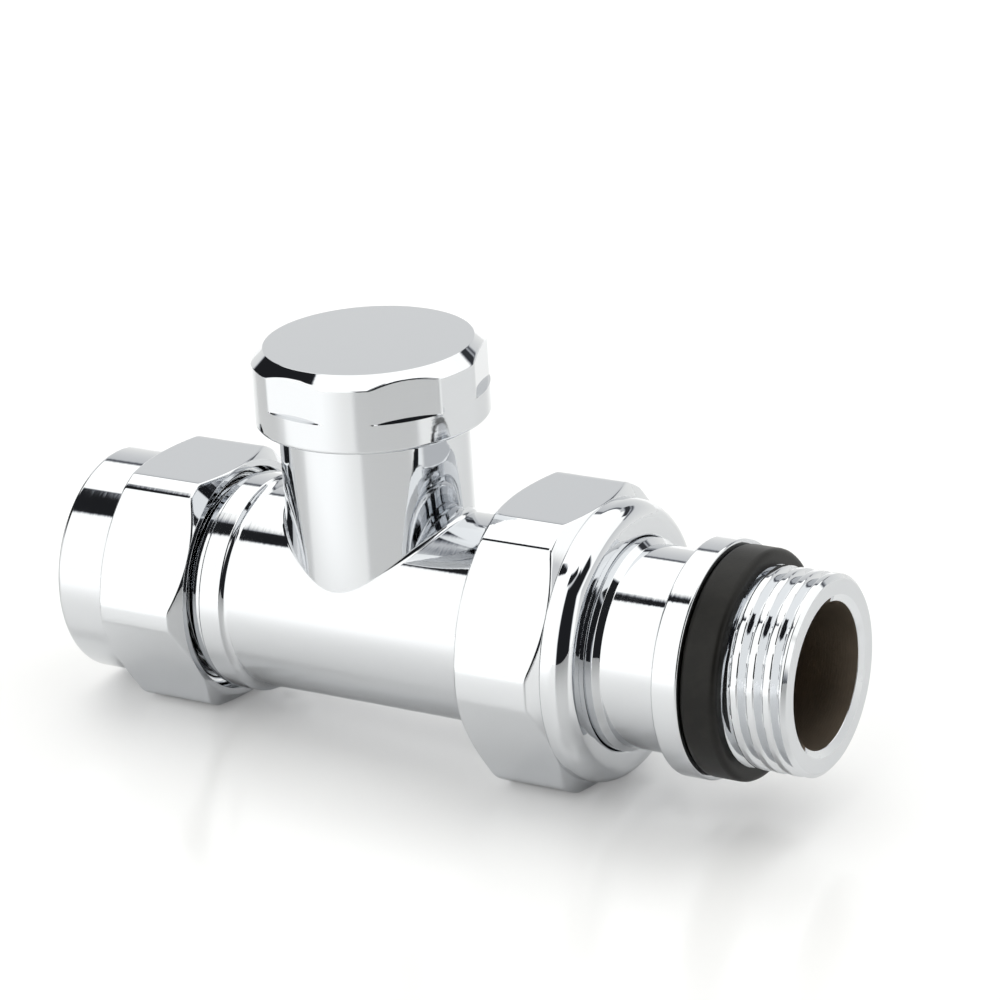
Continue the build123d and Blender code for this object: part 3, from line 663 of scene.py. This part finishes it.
# %% A new material
def new_material(name, hex_colour, roughness, metallic=1.0):
    """A Principled material; returns it with its tree, shader and object coordinates."""
    material = bpy.data.materials.new(name)
    material.use_nodes = True
    tree = material.node_tree
    shader = tree.nodes["Principled BSDF"]
    shader.inputs["Base Color"].default_value = linear(hex_colour)
    shader.inputs["Roughness"].default_value = roughness
    shader.inputs["Metallic"].default_value = metallic
    return material, tree, shader, add(tree, "ShaderNodeTexCoord").outputs["Object"]


def per_mm(size):
    """Texture scale that gives features of a size in millimetres."""
    return 1 / (size * MM)


def cloudy(where, size, detail):
    """Inputs of a noise with features of a size in millimetres."""
    return {"Vector": where, "Scale": per_mm(size), "Detail": detail}


print("a pattern of 7 mm has the scale", round(per_mm(7.0), 1))

# %% [markdown]
# **Chrome plate.** Bright chromium over nickel on polished brass. The eye reads it only through
# reflections, so what matters is how true they are: roughness near zero with a faint haze where
# hands have been, the slight waviness that a polishing wheel leaves, and fine polishing lines
# around the axis. The real lines are finer, and are drawn 0.45 mm wide so that they show.

# %% Polished chrome
ALONG_LINES = 0.12      # coordinates shrink to this along the lines, which draws them out


def chrome_plate(name, axis):
    """Chrome on a part that was turned and polished around an axis."""
    material, tree, shader, where = new_material(name, "#DBDDE0", 0.04)
    smudges = add(tree, NOISE, at=cloudy(where, 7.0, 4.0))
    haze = add(tree, RANGE, smudges, 0.45, 0.75, 0.03, 0.08)
    tree.links.new(haze.outputs[0], shader.inputs["Roughness"])
    stretch = [1.0 if i == axis else ALONG_LINES for i in range(3)]
    stretched = add(tree, "ShaderNodeVectorMath", where, stretch, operation="MULTIPLY")
    rings = add(tree, NOISE, at=cloudy(stretched, 0.45, 2.0))
    lines = add(tree, BUMP, at={"Strength": 0.6, "Distance": 0.004 * MM, "Height": rings})
    dips = add(tree, NOISE, at=cloudy(where, 3.0, 1.0))
    waves = add(
        tree, BUMP,
        at={"Strength": 0.3, "Distance": 0.006 * MM, "Height": dips, "Normal": lines},
    )
    tree.links.new(waves.outputs[0], shader.inputs["Normal"])
    return material


chrome = chrome_plate("polished_chrome_plate", 0)
upright_chrome = chrome_plate("polished_chrome_upright", 2)
print("chrome plate along X and upright:", chrome.name, "and", upright_chrome.name)

# %% [markdown]
# **Machined brass.** The bores are not plated. They keep the fine turning marks of the tool,
# really about 0.15 mm apart and drawn 0.3 mm apart so that they show, and brass soon dulls to
# brown where air and water reach it. New brass inside the neck is still yellow.

# %% Machined brass, bright and dulled
MARK_PITCH = 0.3


def brass(name, bright, dull, roughness, axis):
    """Brass turned around an axis, whose colour drifts between a bright and a dull tone."""
    material, tree, shader, where = new_material(name, bright, roughness)
    patches = add(tree, NOISE, at=cloudy(where, 5.0, 5.0))
    tones = {0: patches, 6: linear(bright), 7: linear(dull)}
    tone = add(tree, MIX, at=tones, data_type="RGBA")
    tree.links.new(tone.outputs[2], shader.inputs["Base Color"])
    along = add(tree, SPLIT, where).outputs[axis]
    phase = add(tree, MATH, along, 2 * math.pi * per_mm(MARK_PITCH), operation="MULTIPLY")
    marks = add(tree, MATH, phase, operation="SINE")
    bump = add(tree, BUMP, at={"Strength": 0.6, "Distance": 0.004 * MM, "Height": marks})
    tree.links.new(bump.outputs[0], shader.inputs["Normal"])
    return material


bore_brass = brass("dulled_bore_brass", "#B8AA9A", "#857B70", 0.5, 0)
turned_brass = brass("turned_brass", "#D9B36A", "#B88F4A", 0.24, 2)
olive_brass = brass("olive_brass", "#D9B36A", "#C39A55", 0.2, 0)
print("brass: bright inside the neck, dulled in the waterway")

# %% [markdown]
# **Nitrile rubber.** The sealing rings are moulded, not turned: nearly black, with a soft, wide
# and weak highlight, a faint grain from the mould, and a little dust.

# %% Nitrile rubber
BLACK, DUSTY = "#141311", "#23221E"
rubber, tree, shader, where = new_material("nitrile_rubber", BLACK, 0.42, metallic=0.0)
shader.inputs["Specular IOR Level"].default_value = 0.26
dust = add(tree, RANGE, add(tree, NOISE, at=cloudy(where, 1.6, 6.0)), 0.42, 0.72, 0.0, 0.5)
tone = add(tree, MIX, at={0: dust, 6: linear(BLACK), 7: linear(DUSTY)}, data_type="RGBA")
tree.links.new(tone.outputs[2], shader.inputs["Base Color"])
grain = add(tree, NOISE, at=cloudy(where, 0.25, 3.0))
bumps = add(tree, BUMP, at={"Strength": 0.5, "Distance": 0.02 * MM, "Height": grain})
tree.links.new(bumps.outputs[0], shader.inputs["Normal"])
print("rubber:", rubber.name)

# %% [markdown]
# **Spring steel.** The clips and the snap ring are hardened and oiled. The eye gets a grey metal
# that is glossier where the oil lies thicker.

# %% Oiled spring steel
spring_steel, tree, shader, where = new_material("oiled_spring_steel", "#7C7E82", 0.3)
film = add(tree, NOISE, at=cloudy(where, 0.8, 3.0))
oiled = add(tree, RANGE, film, 0.3, 0.7, 0.22, 0.4)
tree.links.new(oiled.outputs[0], shader.inputs["Roughness"])
print("materials made:", len(bpy.data.materials))

# %% [markdown]
# ## Bare brass in the bores
# Plating is thin or missing deep in a bore, so the same piece shows two metals. They could be
# two meshes, but a second material on the faces that look at the axis keeps the piece whole.

# %% Paint a bore
TOWARDS_AXIS = 0.3      # least share of a face's direction that points at the axis


def bore_paint(mesh, coating, low, high):
    """Give the coating to faces that look at the axis, between two heights."""
    mesh.materials.append(coating)
    for face in mesh.polygons:
        outward = Vector((face.center.x, face.center.y, 0))
        looks_in = face.normal.dot(outward) < -TOWARDS_AXIS * outward.length
        if looks_in and low * MM < face.center.z < high * MM:
            face.material_index = 1
    return mesh


print("a face is bored where it leans inwards by", TOWARDS_AXIS)

# %% [markdown]
# ## Pipe nut
# The nut that squeezes the olive onto the pipe. It is turned from 26 mm hexagon bar: a round
# sleeve at the pipe's side, corners turned down, a chamfer at each end of the hexagon, and a
# G 1/2 thread inside. It could be a prism with six sides, but then the arcs where the chamfers
# meet the flats would have to be drawn. A turned blank whose flats are milled afterwards gets
# those arcs by itself. Only the deep faces of its bore are bare: plating reaches the
# countersinks.

# %% Pipe nut
NUT_SEGMENTS = 360      # steps around, divisible by six so that all flats get equal faces
x0, x1 = PIPE_NUT
hex_x = x0 + SLEEVE
thread_end = hex_x - 0.9
flat_r, corner_r, sleeve_r = 13.0, 14.45, 12.3
root_r, crest_r = 10.54, 9.4            # of its inside thread
section = [
    (x0, SOCKET_R, 0.3), (x0, sleeve_r, 0.6), (hex_x, sleeve_r, 0.1), (hex_x, flat_r, 0.1),
    (hex_x + 0.87, corner_r, 0.35), (x1 - 1.16, corner_r, 0.35), (x1, flat_r, 0.15),
    (x1, 12.3, 0.05), (x1 - 0.6, 11.3, 0), (x1 - 1.6, 10.55, 0), (x1 - 2.2, crest_r, 0),
    (thread_end, crest_r, 0), (thread_end - 0.3, 10.5, 0), (x0 + 5.1, 10.5, 0.1),
    (x0 + 2.2, SOCKET_R, 0.2),
]
spans = [
    (hex_x, hex_x + 0.9, 0.06, sleeve_r + 0.1), (x1 - 1.2, x1, 0.06, sleeve_r + 0.1),
    (thread_end, x1 - 2.0, 0.15, crest_r - 0.4),
]
blank = turned_mesh("pipe_nut", divided(rounded(section), spans), NUT_SEGMENTS)
cuts = [
    flats(2 * flat_r, hex_x - 0.01, x1 + 0.01),
    thread(root_r, PIPE_PITCH, thread_end, x1 - 1.7, inside_bore=True),
]
nut_mesh = bore_paint(machined(blank, cuts, chrome), bore_brass, x0 + 0.6, x1 - 1.5)
nut_mesh.transform(ALONG_PIPE)
piece("chrome_pipe_nut", nut_mesh, "pipe_nut", "chrome", "pipe_nut")

# %% [markdown]
# ## Union nut
# The large nut draws the tailpiece onto the body. In front of its 30 mm hexagon it has a smooth
# rounded nose, and a flat ring around its mouth. A shelf behind the mouth keeps the snap ring
# in. Behind the shelf is the G 3/4 thread. It is made like the pipe nut. Only its nose is new:
# an arc by formula, with more points than a rounded corner, because long reflections run over
# it.

# %% Union nut
x0, x1 = UNION_NUT
hex_end = x0 + 10.0
thread_end = hex_end - 1.7
flat_r, corner_r, mouth_r = 15.0, 16.4, 11.27
root_r, crest_r = 13.28, 12.13
NOSE_RADIUS, NOSE_R, NOSE_SWEEP = 2.4, 14.9, 74     # of the arc, of the nose, and in degrees
nose_turn = np.radians(np.linspace(0, NOSE_SWEEP, 20))
nose_x = x1 + NOSE_RADIUS * (np.sin(nose_turn) - math.sin(math.radians(NOSE_SWEEP)))
nose_r = NOSE_R - NOSE_RADIUS + NOSE_RADIUS * np.cos(nose_turn)
section = [
    (x0, 13.5, 0.15), (x0, flat_r, 0.3), (x0 + 0.84, corner_r, 0.35),
    (hex_end - 0.98, corner_r, 0.35), (hex_end, flat_r, 0.1), (hex_end, NOSE_R, 0.06),
    *((x, r, 0) for x, r in zip(nose_x, nose_r)),
    (x1, mouth_r, 0.25), (hex_end + 0.1, mouth_r, 0.05), (hex_end + 0.1, root_r, 0.05),
    (thread_end, root_r, 0), (thread_end - 0.5, crest_r, 0), (x0 + 0.9, crest_r, 0),
    (x0 + 0.4, root_r, 0),
]
spans = [
    (x0, x0 + 0.9, 0.06, 13.6), (hex_end - 1.0, hex_end, 0.06, NOSE_R + 0.05),
    (x0 + 0.5, thread_end, 0.15, 11.9),
]
blank = turned_mesh("union_nut", divided(rounded(section), spans), NUT_SEGMENTS)
cuts = [
    flats(2 * flat_r, x0 - 0.01, hex_end + 0.01),
    thread(root_r, PIPE_PITCH, x0 + 0.3, thread_end, inside_bore=True),
]
nut_mesh = bore_paint(machined(blank, cuts, chrome), bore_brass, x0 + 1.2, hex_end)
nut_mesh.transform(ALONG_PIPE)
piece("chrome_union_nut", nut_mesh, "union_nut", "chrome", "union_nut")

# %% [markdown]
# ## Tailpiece, sealing ring and olive
# The tailpiece screws into the radiator. From left to right it has a spigot with an O-ring
# groove inside the body, a guide with the snap ring's groove, a slim tube, a flange, the seat of
# the rubber ring, and the G 1/2 thread, which starts straight from the ring and ends in a
# chamfer. It could be built from many cylinders, but one turned section has no joints that a
# mirror finish would show, and its grooves follow the rings that lie in them.

# %% Tailpiece
def groove(node, gap):
    """Both sides of the groove that holds a ring, with a gap at each side of the ring."""
    low, high = reach(node, 0)
    return low - gap, high + gap


TAIL_SEGMENTS = 288
t0, t1 = reach("tailpiece", 0)
seal_x0, seal_x1 = reach("radiator_seal_ring", 0)
o_ring_x0, o_ring_x1 = groove("union_o_ring", 0.195)
snap_x0, snap_x1 = groove("union_snap_ring", 0.05)
spigot_r, guide_r, tube_r, flange_r = 9.9, 11.2, 10.65, 12.5
bore_r, seat_r = 7.65, 9.6
guide_end = UNION_NUT[1] + 0.85
flange_x = seal_x0 - 2.9
section = [
    (t0, bore_r, 0.2), (t0, spigot_r, 0.35), (o_ring_x0, spigot_r, 0.05), (o_ring_x0, 8.62, 0.1),
    (o_ring_x1, 8.62, 0.1), (o_ring_x1, spigot_r, 0.05), (BODY[1], spigot_r, 0.1),
    (BODY[1], guide_r, 0.1), (snap_x0, guide_r, 0.05), (snap_x0, 10.3, 0.1),
    (snap_x1, 10.3, 0.1), (snap_x1, guide_r, 0.05), (guide_end, guide_r, 0.1),
    (guide_end + 0.6, tube_r, 0.15), (flange_x, tube_r, 0.2), (flange_x, flange_r, 0.25),
    (seal_x0, flange_r, 0.25), (seal_x0, seat_r, 0.1), (seal_x1, seat_r, 0),
    (seal_x1, G_HALF_R, 0.05), (t1 - 0.4, G_HALF_R, 0.15), (t1, 10.0, 0.12), (t1, 8.4, 0.05),
    (t1 - 0.44, bore_r, 0.1),
]
spans = [(seal_x1 + 0.02, t1, 0.09, seat_r + 0.02)]
blank = turned_mesh("tailpiece", divided(rounded(section), spans), TAIL_SEGMENTS)
cuts = [thread(G_HALF_R, PIPE_PITCH, seal_x1 + 0.01, t1 - 0.3, fade_high=0.3)]
tail_mesh = bore_paint(machined(blank, cuts, chrome), bore_brass, t0, t1 - 0.5)
tail_mesh.transform(ALONG_PIPE)
piece("chrome_tailpiece", tail_mesh, "tail", "chrome", "tailpiece")

# %% [markdown]
# The rubber ring fills the step in front of the flange, with a wide round on its outer corners.
# The olive is a brass ring with a cone at both ends, which the nut presses into the body's cone.
# A torus would miss the flat sides of the one and the cones of the other, so both are turned.

# %% Rubber ring and olive
RING_SEGMENTS, OLIVE_SEGMENTS = 256, 192
inner_r, outer_r = seat_r + 0.04, 12.05
section = [
    (seal_x0, inner_r, 0.1), (seal_x0, outer_r, 0.6), (seal_x1, outer_r, 0.7),
    (seal_x1, inner_r, 0.1),
]
ring_mesh = machined(turned_mesh("ring", rounded(section), RING_SEGMENTS), [], rubber)
ring_mesh.transform(ALONG_PIPE)
piece("rubber_radiator_ring", ring_mesh, "tail", "rubber", "radiator_seal_ring")

x0, x1 = reach("olive", 0)
cone, end_r, band_r = 1.2, 8.0, 9.2
section = [
    (x0, SOCKET_R, 0.1), (x0, end_r, 0.1), (x0 + cone, band_r, 0.3), (x1 - cone, band_r, 0.3),
    (x1, end_r, 0.1), (x1, SOCKET_R, 0.1),
]
olive_blank = turned_mesh("olive", rounded(section), OLIVE_SEGMENTS)
olive_mesh = machined(olive_blank, [], olive_brass)
olive_mesh.transform(ALONG_PIPE)
piece("brass_olive", olive_mesh, "olive", "brass", "olive")

# %% [markdown]
# ## Cap
# The cap hides the key spindle, so that nobody turns it by chance. It is a shallow cup with a
# full round rim, and six flats above it for a spanner. The flats run up into a chamfer around
# the plain top. It is turned and milled like the nuts, with a close pair of rows at the top of
# the rim, where the cutter starts, so that the flats end there in a crisp step.

# %% Cap
z0, z1 = reach("cap", 2)
rim_top = z0 + 3.2
ceiling = z1 - 2.05
cap_r, top_r = 12.5, 11.1
root_r, crest_r = 9.56, 8.93            # of its inside thread
section = [
    (z1, 0, 0), (z1, top_r, 0.1), (z1 - 1.33, cap_r, 0.15), (rim_top + 0.03, cap_r, 0),
    (rim_top - 0.03, cap_r, 0), (z0, cap_r, 0.4), (z0, 10.0, 0.1), (z0 + 0.45, root_r, 0),
    (z0 + 0.7, crest_r, 0), (z0 + 4.7, crest_r, 0), (z0 + 5.0, root_r, 0),
    (ceiling, root_r, 0.05), (ceiling, 0, 0),
]
spans = [(z1 - 1.6, z1, 0.06, top_r - 0.2), (z0 + 0.7, z0 + 4.7, 0.08, 8.8)]
blank = turned_mesh("cap", divided(rounded(section), spans), NUT_SEGMENTS)
cuts = [
    flats(23.8, rim_top, z1 + 0.01, turn=-10.3, edge=0.12),
    thread(root_r, CAP_PITCH, z0 + 0.5, z0 + 4.9, inside_bore=True),
]
cap_mesh = machined(blank, cuts, upright_chrome)
cap_mesh.transform(UP_NECK)
piece("chrome_cap", cap_mesh, "cap", "chrome", "cap")

# %% [markdown]
# ## Valve body
# The body is one forging: a tube along the pipe, with the neck standing on it. The difficult
# place is the saddle where the two tubes meet. A boolean would leave facets that a mirror finish
# shows at once, so the saddle is laid out exactly, as rings that all have the same number of
# points. The outermost ring is the border of the run: its two ends and the seam underneath.

# %% Border of the run
RUN_R, NECK_R, BALL_R = 11.15, 10.1, 0.6
AROUND, SEAM = 144, 24          # steps around the run's ends, and along the seam underneath
RUN_FROM, RUN_TO = BODY[0] + 13.85, BODY[1] - 7.7
SHOULDER_Z, SHOULDER_ROUND = NECK_TOP - 5.5, 0.4


def run_border():
    """Border of the unrolled run as (along, around) from the neck's axis, in millimetres."""
    left, right, half = RUN_FROM - NECK_X, RUN_TO - NECK_X, math.pi * RUN_R
    up = [(right, -half + 2 * half * k / AROUND) for k in range(AROUND)]
    over = [(right + (left - right) * k / SEAM, half) for k in range(SEAM)]
    down = [(left, half - 2 * half * k / AROUND) for k in range(AROUND)]
    under = [(left + (right - left) * k / SEAM, -half) for k in range(SEAM)]
    return np.array(up + over + down + under)


border = run_border()
bearing = np.arctan2(border[:, 1], border[:, 0])
cos_b, sin_b, zero = np.cos(bearing), np.sin(bearing), np.zeros(len(border))
print("border of the run:", len(border), "points")

# %% [markdown]
# The rounded corner between two tubes is the track of a small ball that rolls in the corner.
# Its middle keeps the same distance from both tubes, and its arms point at the places where it
# touches them. Rings first close in over the run towards the ball, then follow the ball's
# surface from one arm to the other, and last climb the neck. Each ring remembers its exact
# outward direction.

# %% Rings of the saddle
RUN_RINGS, RUN_EASE = 16, 1.8           # rings over the run, closer together near the ball
BALL_STEPS = 8
CLIMB = (0.02, 0.5, 0.98, 1.0)          # close pairs keep the neck straight beside its ends

ball_reach, run_reach = NECK_R + BALL_R, RUN_R + BALL_R
ball_height = np.sqrt(run_reach**2 - (ball_reach * sin_b) ** 2)
ball = np.stack([ball_reach * cos_b, ball_reach * sin_b, ball_height], 1)
to_neck = np.stack([-cos_b, -sin_b, zero], 1)
to_run = -np.stack([zero, ball[:, 1], ball[:, 2]], 1) / run_reach
saddle_rings, outwards = [], []
ball_foot = np.stack([ball[:, 0], RUN_R * np.arctan2(ball[:, 1], ball[:, 2])], 1)
for k in range(RUN_RINGS, 0, -1):
    t = (k / RUN_RINGS) ** RUN_EASE
    along, around = (ball_foot + (border - ball_foot) * t).T
    outward = np.stack([zero, np.sin(around / RUN_R), np.cos(around / RUN_R)], 1)
    saddle_rings.append(outward * RUN_R + np.stack([along, zero, zero], 1))
    outwards.append(outward)
opening = np.arccos(np.clip((to_neck * to_run).sum(1), -1, 1))[:, None]
for k in range(BALL_STEPS + 1):
    t = k / BALL_STEPS
    arm = (np.sin((1 - t) * opening) * to_run + np.sin(t * opening) * to_neck) / np.sin(opening)
    saddle_rings.append(ball + BALL_R * arm)
    outwards.append(-arm)
foot = saddle_rings[-1]
for t in CLIMB:
    ring = foot.copy()
    ring[:, 2] += t * (SHOULDER_Z - SHOULDER_ROUND - foot[:, 2])
    saddle_rings.append(ring)
    outwards.append(-to_neck)
print("saddle:", len(saddle_rings), "rings of", len(border), "points")

# %% [markdown]
# From the neck's shoulder upwards everything is turned: the fine thread for the cap, then down
# inside past the headwork's bore and the valve chamber to the raised seat and the well under
# it. Points on rings make a skin by joining each ring to the next.

# %% Neck, outside and in
CAP_THREAD_R, CHAMBER_R, SEAT_R = 9.5, 7.0, 4.5
SEAT_Z, WELL_Z = 2.0, -6.5
neck_section = [
    (SHOULDER_Z - 4.0, NECK_R, 0),      # gives the shoulder's arc a side to start from
    (SHOULDER_Z, NECK_R, SHOULDER_ROUND), (SHOULDER_Z, CAP_THREAD_R, 0.0),
    (NECK_TOP, CAP_THREAD_R, 0.4), (NECK_TOP, 8.0, 0.2), (16.5, 8.0, 0), (16.5, 7.5, 0.1),
    (13.0, 7.5, 0), (13.0, CHAMBER_R, 0.1), (SEAT_Z - 0.6, CHAMBER_R, 0.2),
    (SEAT_Z - 0.6, SEAT_R + 1.0, 0), (SEAT_Z, SEAT_R + 1.0, 0.1), (SEAT_Z, SEAT_R, 0.1),
    (WELL_Z, SEAT_R, 0.3),
]


def skin(name, rings, pole):
    """Mesh of rings joined in order and closed by a last point, from millimetres."""
    count = len(rings[0])
    faces = []
    for i in range(len(rings) - 1):
        a, b = i * count, (i + 1) * count
        faces += [(a + k, a + (k + 1) % count, b + (k + 1) % count, b + k) for k in range(count)]
    last, tip = (len(rings) - 1) * count, len(rings) * count
    faces += [(last + k, last + (k + 1) % count, tip) for k in range(count)]
    mesh = bpy.data.meshes.new(name)
    verts = np.concatenate([*rings, np.array([pole])]) * MM
    mesh.from_pydata(verts.tolist(), [], faces)
    return mesh


upper = divided(open_section(neck_section), [(SHOULDER_Z + 0.2, NECK_TOP, 0.08, 9.1)])
arc_start = SHOULDER_Z - SHOULDER_ROUND + 0.001     # the saddle's last ring reaches up to here
upper = [(h, r) for h, r in upper[1:] if h >= arc_start or r <= NECK_R - 0.2]
neck_rings = [np.stack([r * cos_b, r * sin_b, zero + h], 1) for h, r in upper]
neck_blank = skin("neck", saddle_rings + neck_rings, (0, 0, WELL_Z))
cap_thread = thread(CAP_THREAD_R, CAP_PITCH, SHOULDER_Z + 0.3, NECK_TOP + 0.01, fade_low=0.5)
neck_mesh = machined(neck_blank, [cap_thread], chrome)
print("neck and saddle:", len(neck_mesh.polygons), "faces")

# %% [markdown]
# Both ends of the run are turned too. Each blind bore ends in a wall with an oval passage into
# the valve chamber: the way in lies low, below the seat, and the way out lies high, above it.

# %% An end of the run
LEAST_COSINE = 1e-9     # so that nothing is divided by zero sideways


def oval(width, height, centre_z, h):
    """Ring of an oval passage in the turning frame, where down is +X and the back is +Y."""
    a, b = (width - height) / 2, height / 2
    points = []
    for k in range(AROUND):
        c, s = math.cos(2 * math.pi * k / AROUND), math.sin(2 * math.pi * k / AROUND)
        t = b / max(abs(c), LEAST_COSINE)
        if t * abs(s) > a:
            t = a * abs(s) + math.sqrt(max(b * b - (a * c) ** 2, 0))
        points.append((t * c - centre_z, t * s, h))
    return np.array(points)


def run_end(name, section, spans, passage, thread_cut):
    """One end of the body, from the run's skin round into its blind bore and passage.

    A passage is its width, its height, its middle above the pipe axis, and its depth.
    """
    turn = np.arange(AROUND) * 2 * math.pi / AROUND
    points = divided(open_section(section), spans)
    rings = [np.stack([r * np.cos(turn), r * np.sin(turn), 0 * turn + h], 1) for h, r in points]
    wall_x = points[-1][0]
    width, height, centre_z, depth = passage
    rings.append(oval(width, height, centre_z, wall_x))
    rings.append(oval(width, height, centre_z, wall_x + depth))
    mesh = machined(skin(name, rings, (-centre_z, 0, wall_x + depth)), [thread_cut], chrome)
    mesh.transform(ALONG_PIPE)
    return mesh


print("every ring of an end has", AROUND, "points, as the run's border has there")

# %% [markdown]
# The left end carries the collar with a fine groove in its face, the relief where the thread
# ends, the G 1/2 thread, and the cone and socket for the pipe. The right end carries the G 3/4
# thread and the bore for the tailpiece's spigot.

# %% Both ends of the run
WALL = 8.6              # neck axis to the walls that end the bores
INLET_R, OUTLET_R = 6.5, 7.0
b0, b1 = BODY
collar_r, collar_x, relief_r = 11.95, b0 + 9.72, 9.58
thread_x, socket_x = b0 + 8.5, b0 + 11.5
left_section = [
    (RUN_FROM, RUN_R, 0), (RUN_FROM - 0.6, collar_r, 0.25), (b0 + 10.8, collar_r, 0.15),
    (b0 + 10.65, 11.72, 0.1), (b0 + 9.8, 11.72, 0.1), (collar_x, 11.6, 0.04),
    (collar_x, relief_r, 0.15), (thread_x, relief_r, 0.15), (thread_x, G_HALF_R, 0.1),
    (b0 + 0.4, G_HALF_R, 0.1), (b0, 10.08, 0.1), (b0, 9.5, 0.05), (b0 + 1.9, SOCKET_R, 0.1),
    (socket_x, SOCKET_R, 0.05), (socket_x, INLET_R, 0.1), (NECK_X - WALL, INLET_R, 0),
]
pipe_end = run_end(
    "pipe_end", left_section, [(b0, thread_x + 0.1, 0.12, 9.7)], (9.6, 6.9, -2.9, 1.4),
    thread(G_HALF_R, PIPE_PITCH, b0 - 0.01, thread_x, fade_high=0.6),
)
spigot_x, spigot_bore_r = b1 - 4.9, 9.97
right_section = [
    (RUN_TO, RUN_R, 0), (RUN_TO, G_THREE_QUARTER_R, 0.3), (b1 - 0.4, G_THREE_QUARTER_R, 0.1),
    (b1, 12.8, 0.1), (b1, spigot_bore_r, 0.2), (spigot_x, spigot_bore_r, 0.1),
    (spigot_x, OUTLET_R, 0.1), (NECK_X + WALL, OUTLET_R, 0),
]
union_end = run_end(
    "union_end", right_section, [(RUN_TO, b1, 0.12, 12.5)], (9.6, 5.3, 4.1, -1.4),
    thread(G_THREE_QUARTER_R, PIPE_PITCH, RUN_TO + 0.1, b1 + 0.01, fade_low=0.8),
)
print("ends of the run:", len(pipe_end.polygons) + len(union_end.polygons), "faces")

# %% [markdown]
# The three skins share their border points, so merging doubles welds them into one closed body.
# Counting the open edges proves it.

# %% Weld the body
WELD_DISTANCE = 1e-7    # metres
neck_mesh.transform(UP_NECK)
weld = bmesh.new()
for part in (neck_mesh, pipe_end, union_end):
    weld.from_mesh(part)
bmesh.ops.remove_doubles(weld, verts=weld.verts, dist=WELD_DISTANCE)
bmesh.ops.recalc_face_normals(weld, faces=weld.faces)
open_edges = [edge for edge in weld.edges if not edge.is_manifold]
print("open edges in the body:", len(open_edges))
body_mesh = bpy.data.meshes.new("body")
weld.to_mesh(body_mesh)
weld.free()
face_out(body_mesh)

# %% [markdown]
# The body is plated outside, and its brass is bare wherever it was bored. The plate on the neck
# was polished around the neck, so its fine lines lie across those of the run.

# %% Plate and bare brass
BORED_RUN_R, BORED_NECK_R = 9.45, 8.02      # bores and their cones lie inside these
BORED_RUN_TOP, WELL_BOTTOM = 9.5, -6.8
ON_NECK_R = 10.2
PLATE, BARE, NECK_PLATE = range(3)

body_mesh.materials.clear()
for finish in (chrome, bore_brass, upright_chrome):
    body_mesh.materials.append(finish)
neck_axis = Vector((NECK_X * MM, 0, 0))
for face in body_mesh.polygons:
    c, n = face.center, face.normal
    from_run, from_neck = math.hypot(c.y, c.z), math.hypot(c.x - neck_axis.x, c.y)
    looks_out = n.y * c.y + n.z * c.z >= TOWARDS_AXIS * from_run
    in_run = from_run < BORED_RUN_R * MM and not looks_out and c.z < BORED_RUN_TOP * MM
    in_neck = from_neck < BORED_NECK_R * MM and c.z > WELL_BOTTOM * MM
    if in_run or in_neck:
        face.material_index = BARE
    elif from_neck < ON_NECK_R * MM and c.z > 0:
        face.material_index = NECK_PLATE
    else:
        face.material_index = PLATE
print("bare faces:", sum(face.material_index == BARE for face in body_mesh.polygons))

# %% [markdown]
# The saddle keeps its exact normals, taken from the two tubes and the ball and not from the
# faces, because a mirror shows the smallest error.

# %% Exact normals on the saddle
SAME_POINT = 2e-7       # metres
saddle_points, saddle_normals = np.concatenate(saddle_rings), np.concatenate(outwards)
exact = KDTree(len(saddle_points))
for index, point in enumerate(saddle_points):
    exact.insert(Vector(point) * MM + neck_axis, index)
exact.balance()
normals = [v.normal.copy() for v in body_mesh.vertices]
for v in body_mesh.vertices:
    _, index, distance = exact.find(v.co)
    if distance < SAME_POINT:
        normals[v.index] = Vector(saddle_normals[index])
body_mesh.normals_split_custom_set_from_vertices(normals)
piece("chrome_valve_body", body_mesh, "valve", "chrome", "valve_body")

# %% [markdown]
# ## Solids that keep their shape
# The parts that hide inside the valve are already right as solids, so they keep their own
# meshes and only take a finish.

# %% Finishes for the hidden parts
hidden = {
    turned_brass: ["headwork", "spindle", "valve_plug", "washer_screw"],
    spring_steel: ["spindle_circlip", "plug_clip", "union_snap_ring"],
    rubber: [
        "headwork_o_ring", "spindle_o_ring_lower", "spindle_o_ring_upper", "union_o_ring",
        "seat_washer", "cap_washer",
    ],
}
for finish, names in hidden.items():
    for name in names:
        for material_slot in frame["nodes"][name].material_slots:
            material_slot.material = finish
    print(finish.name, "on", ", ".join(names))
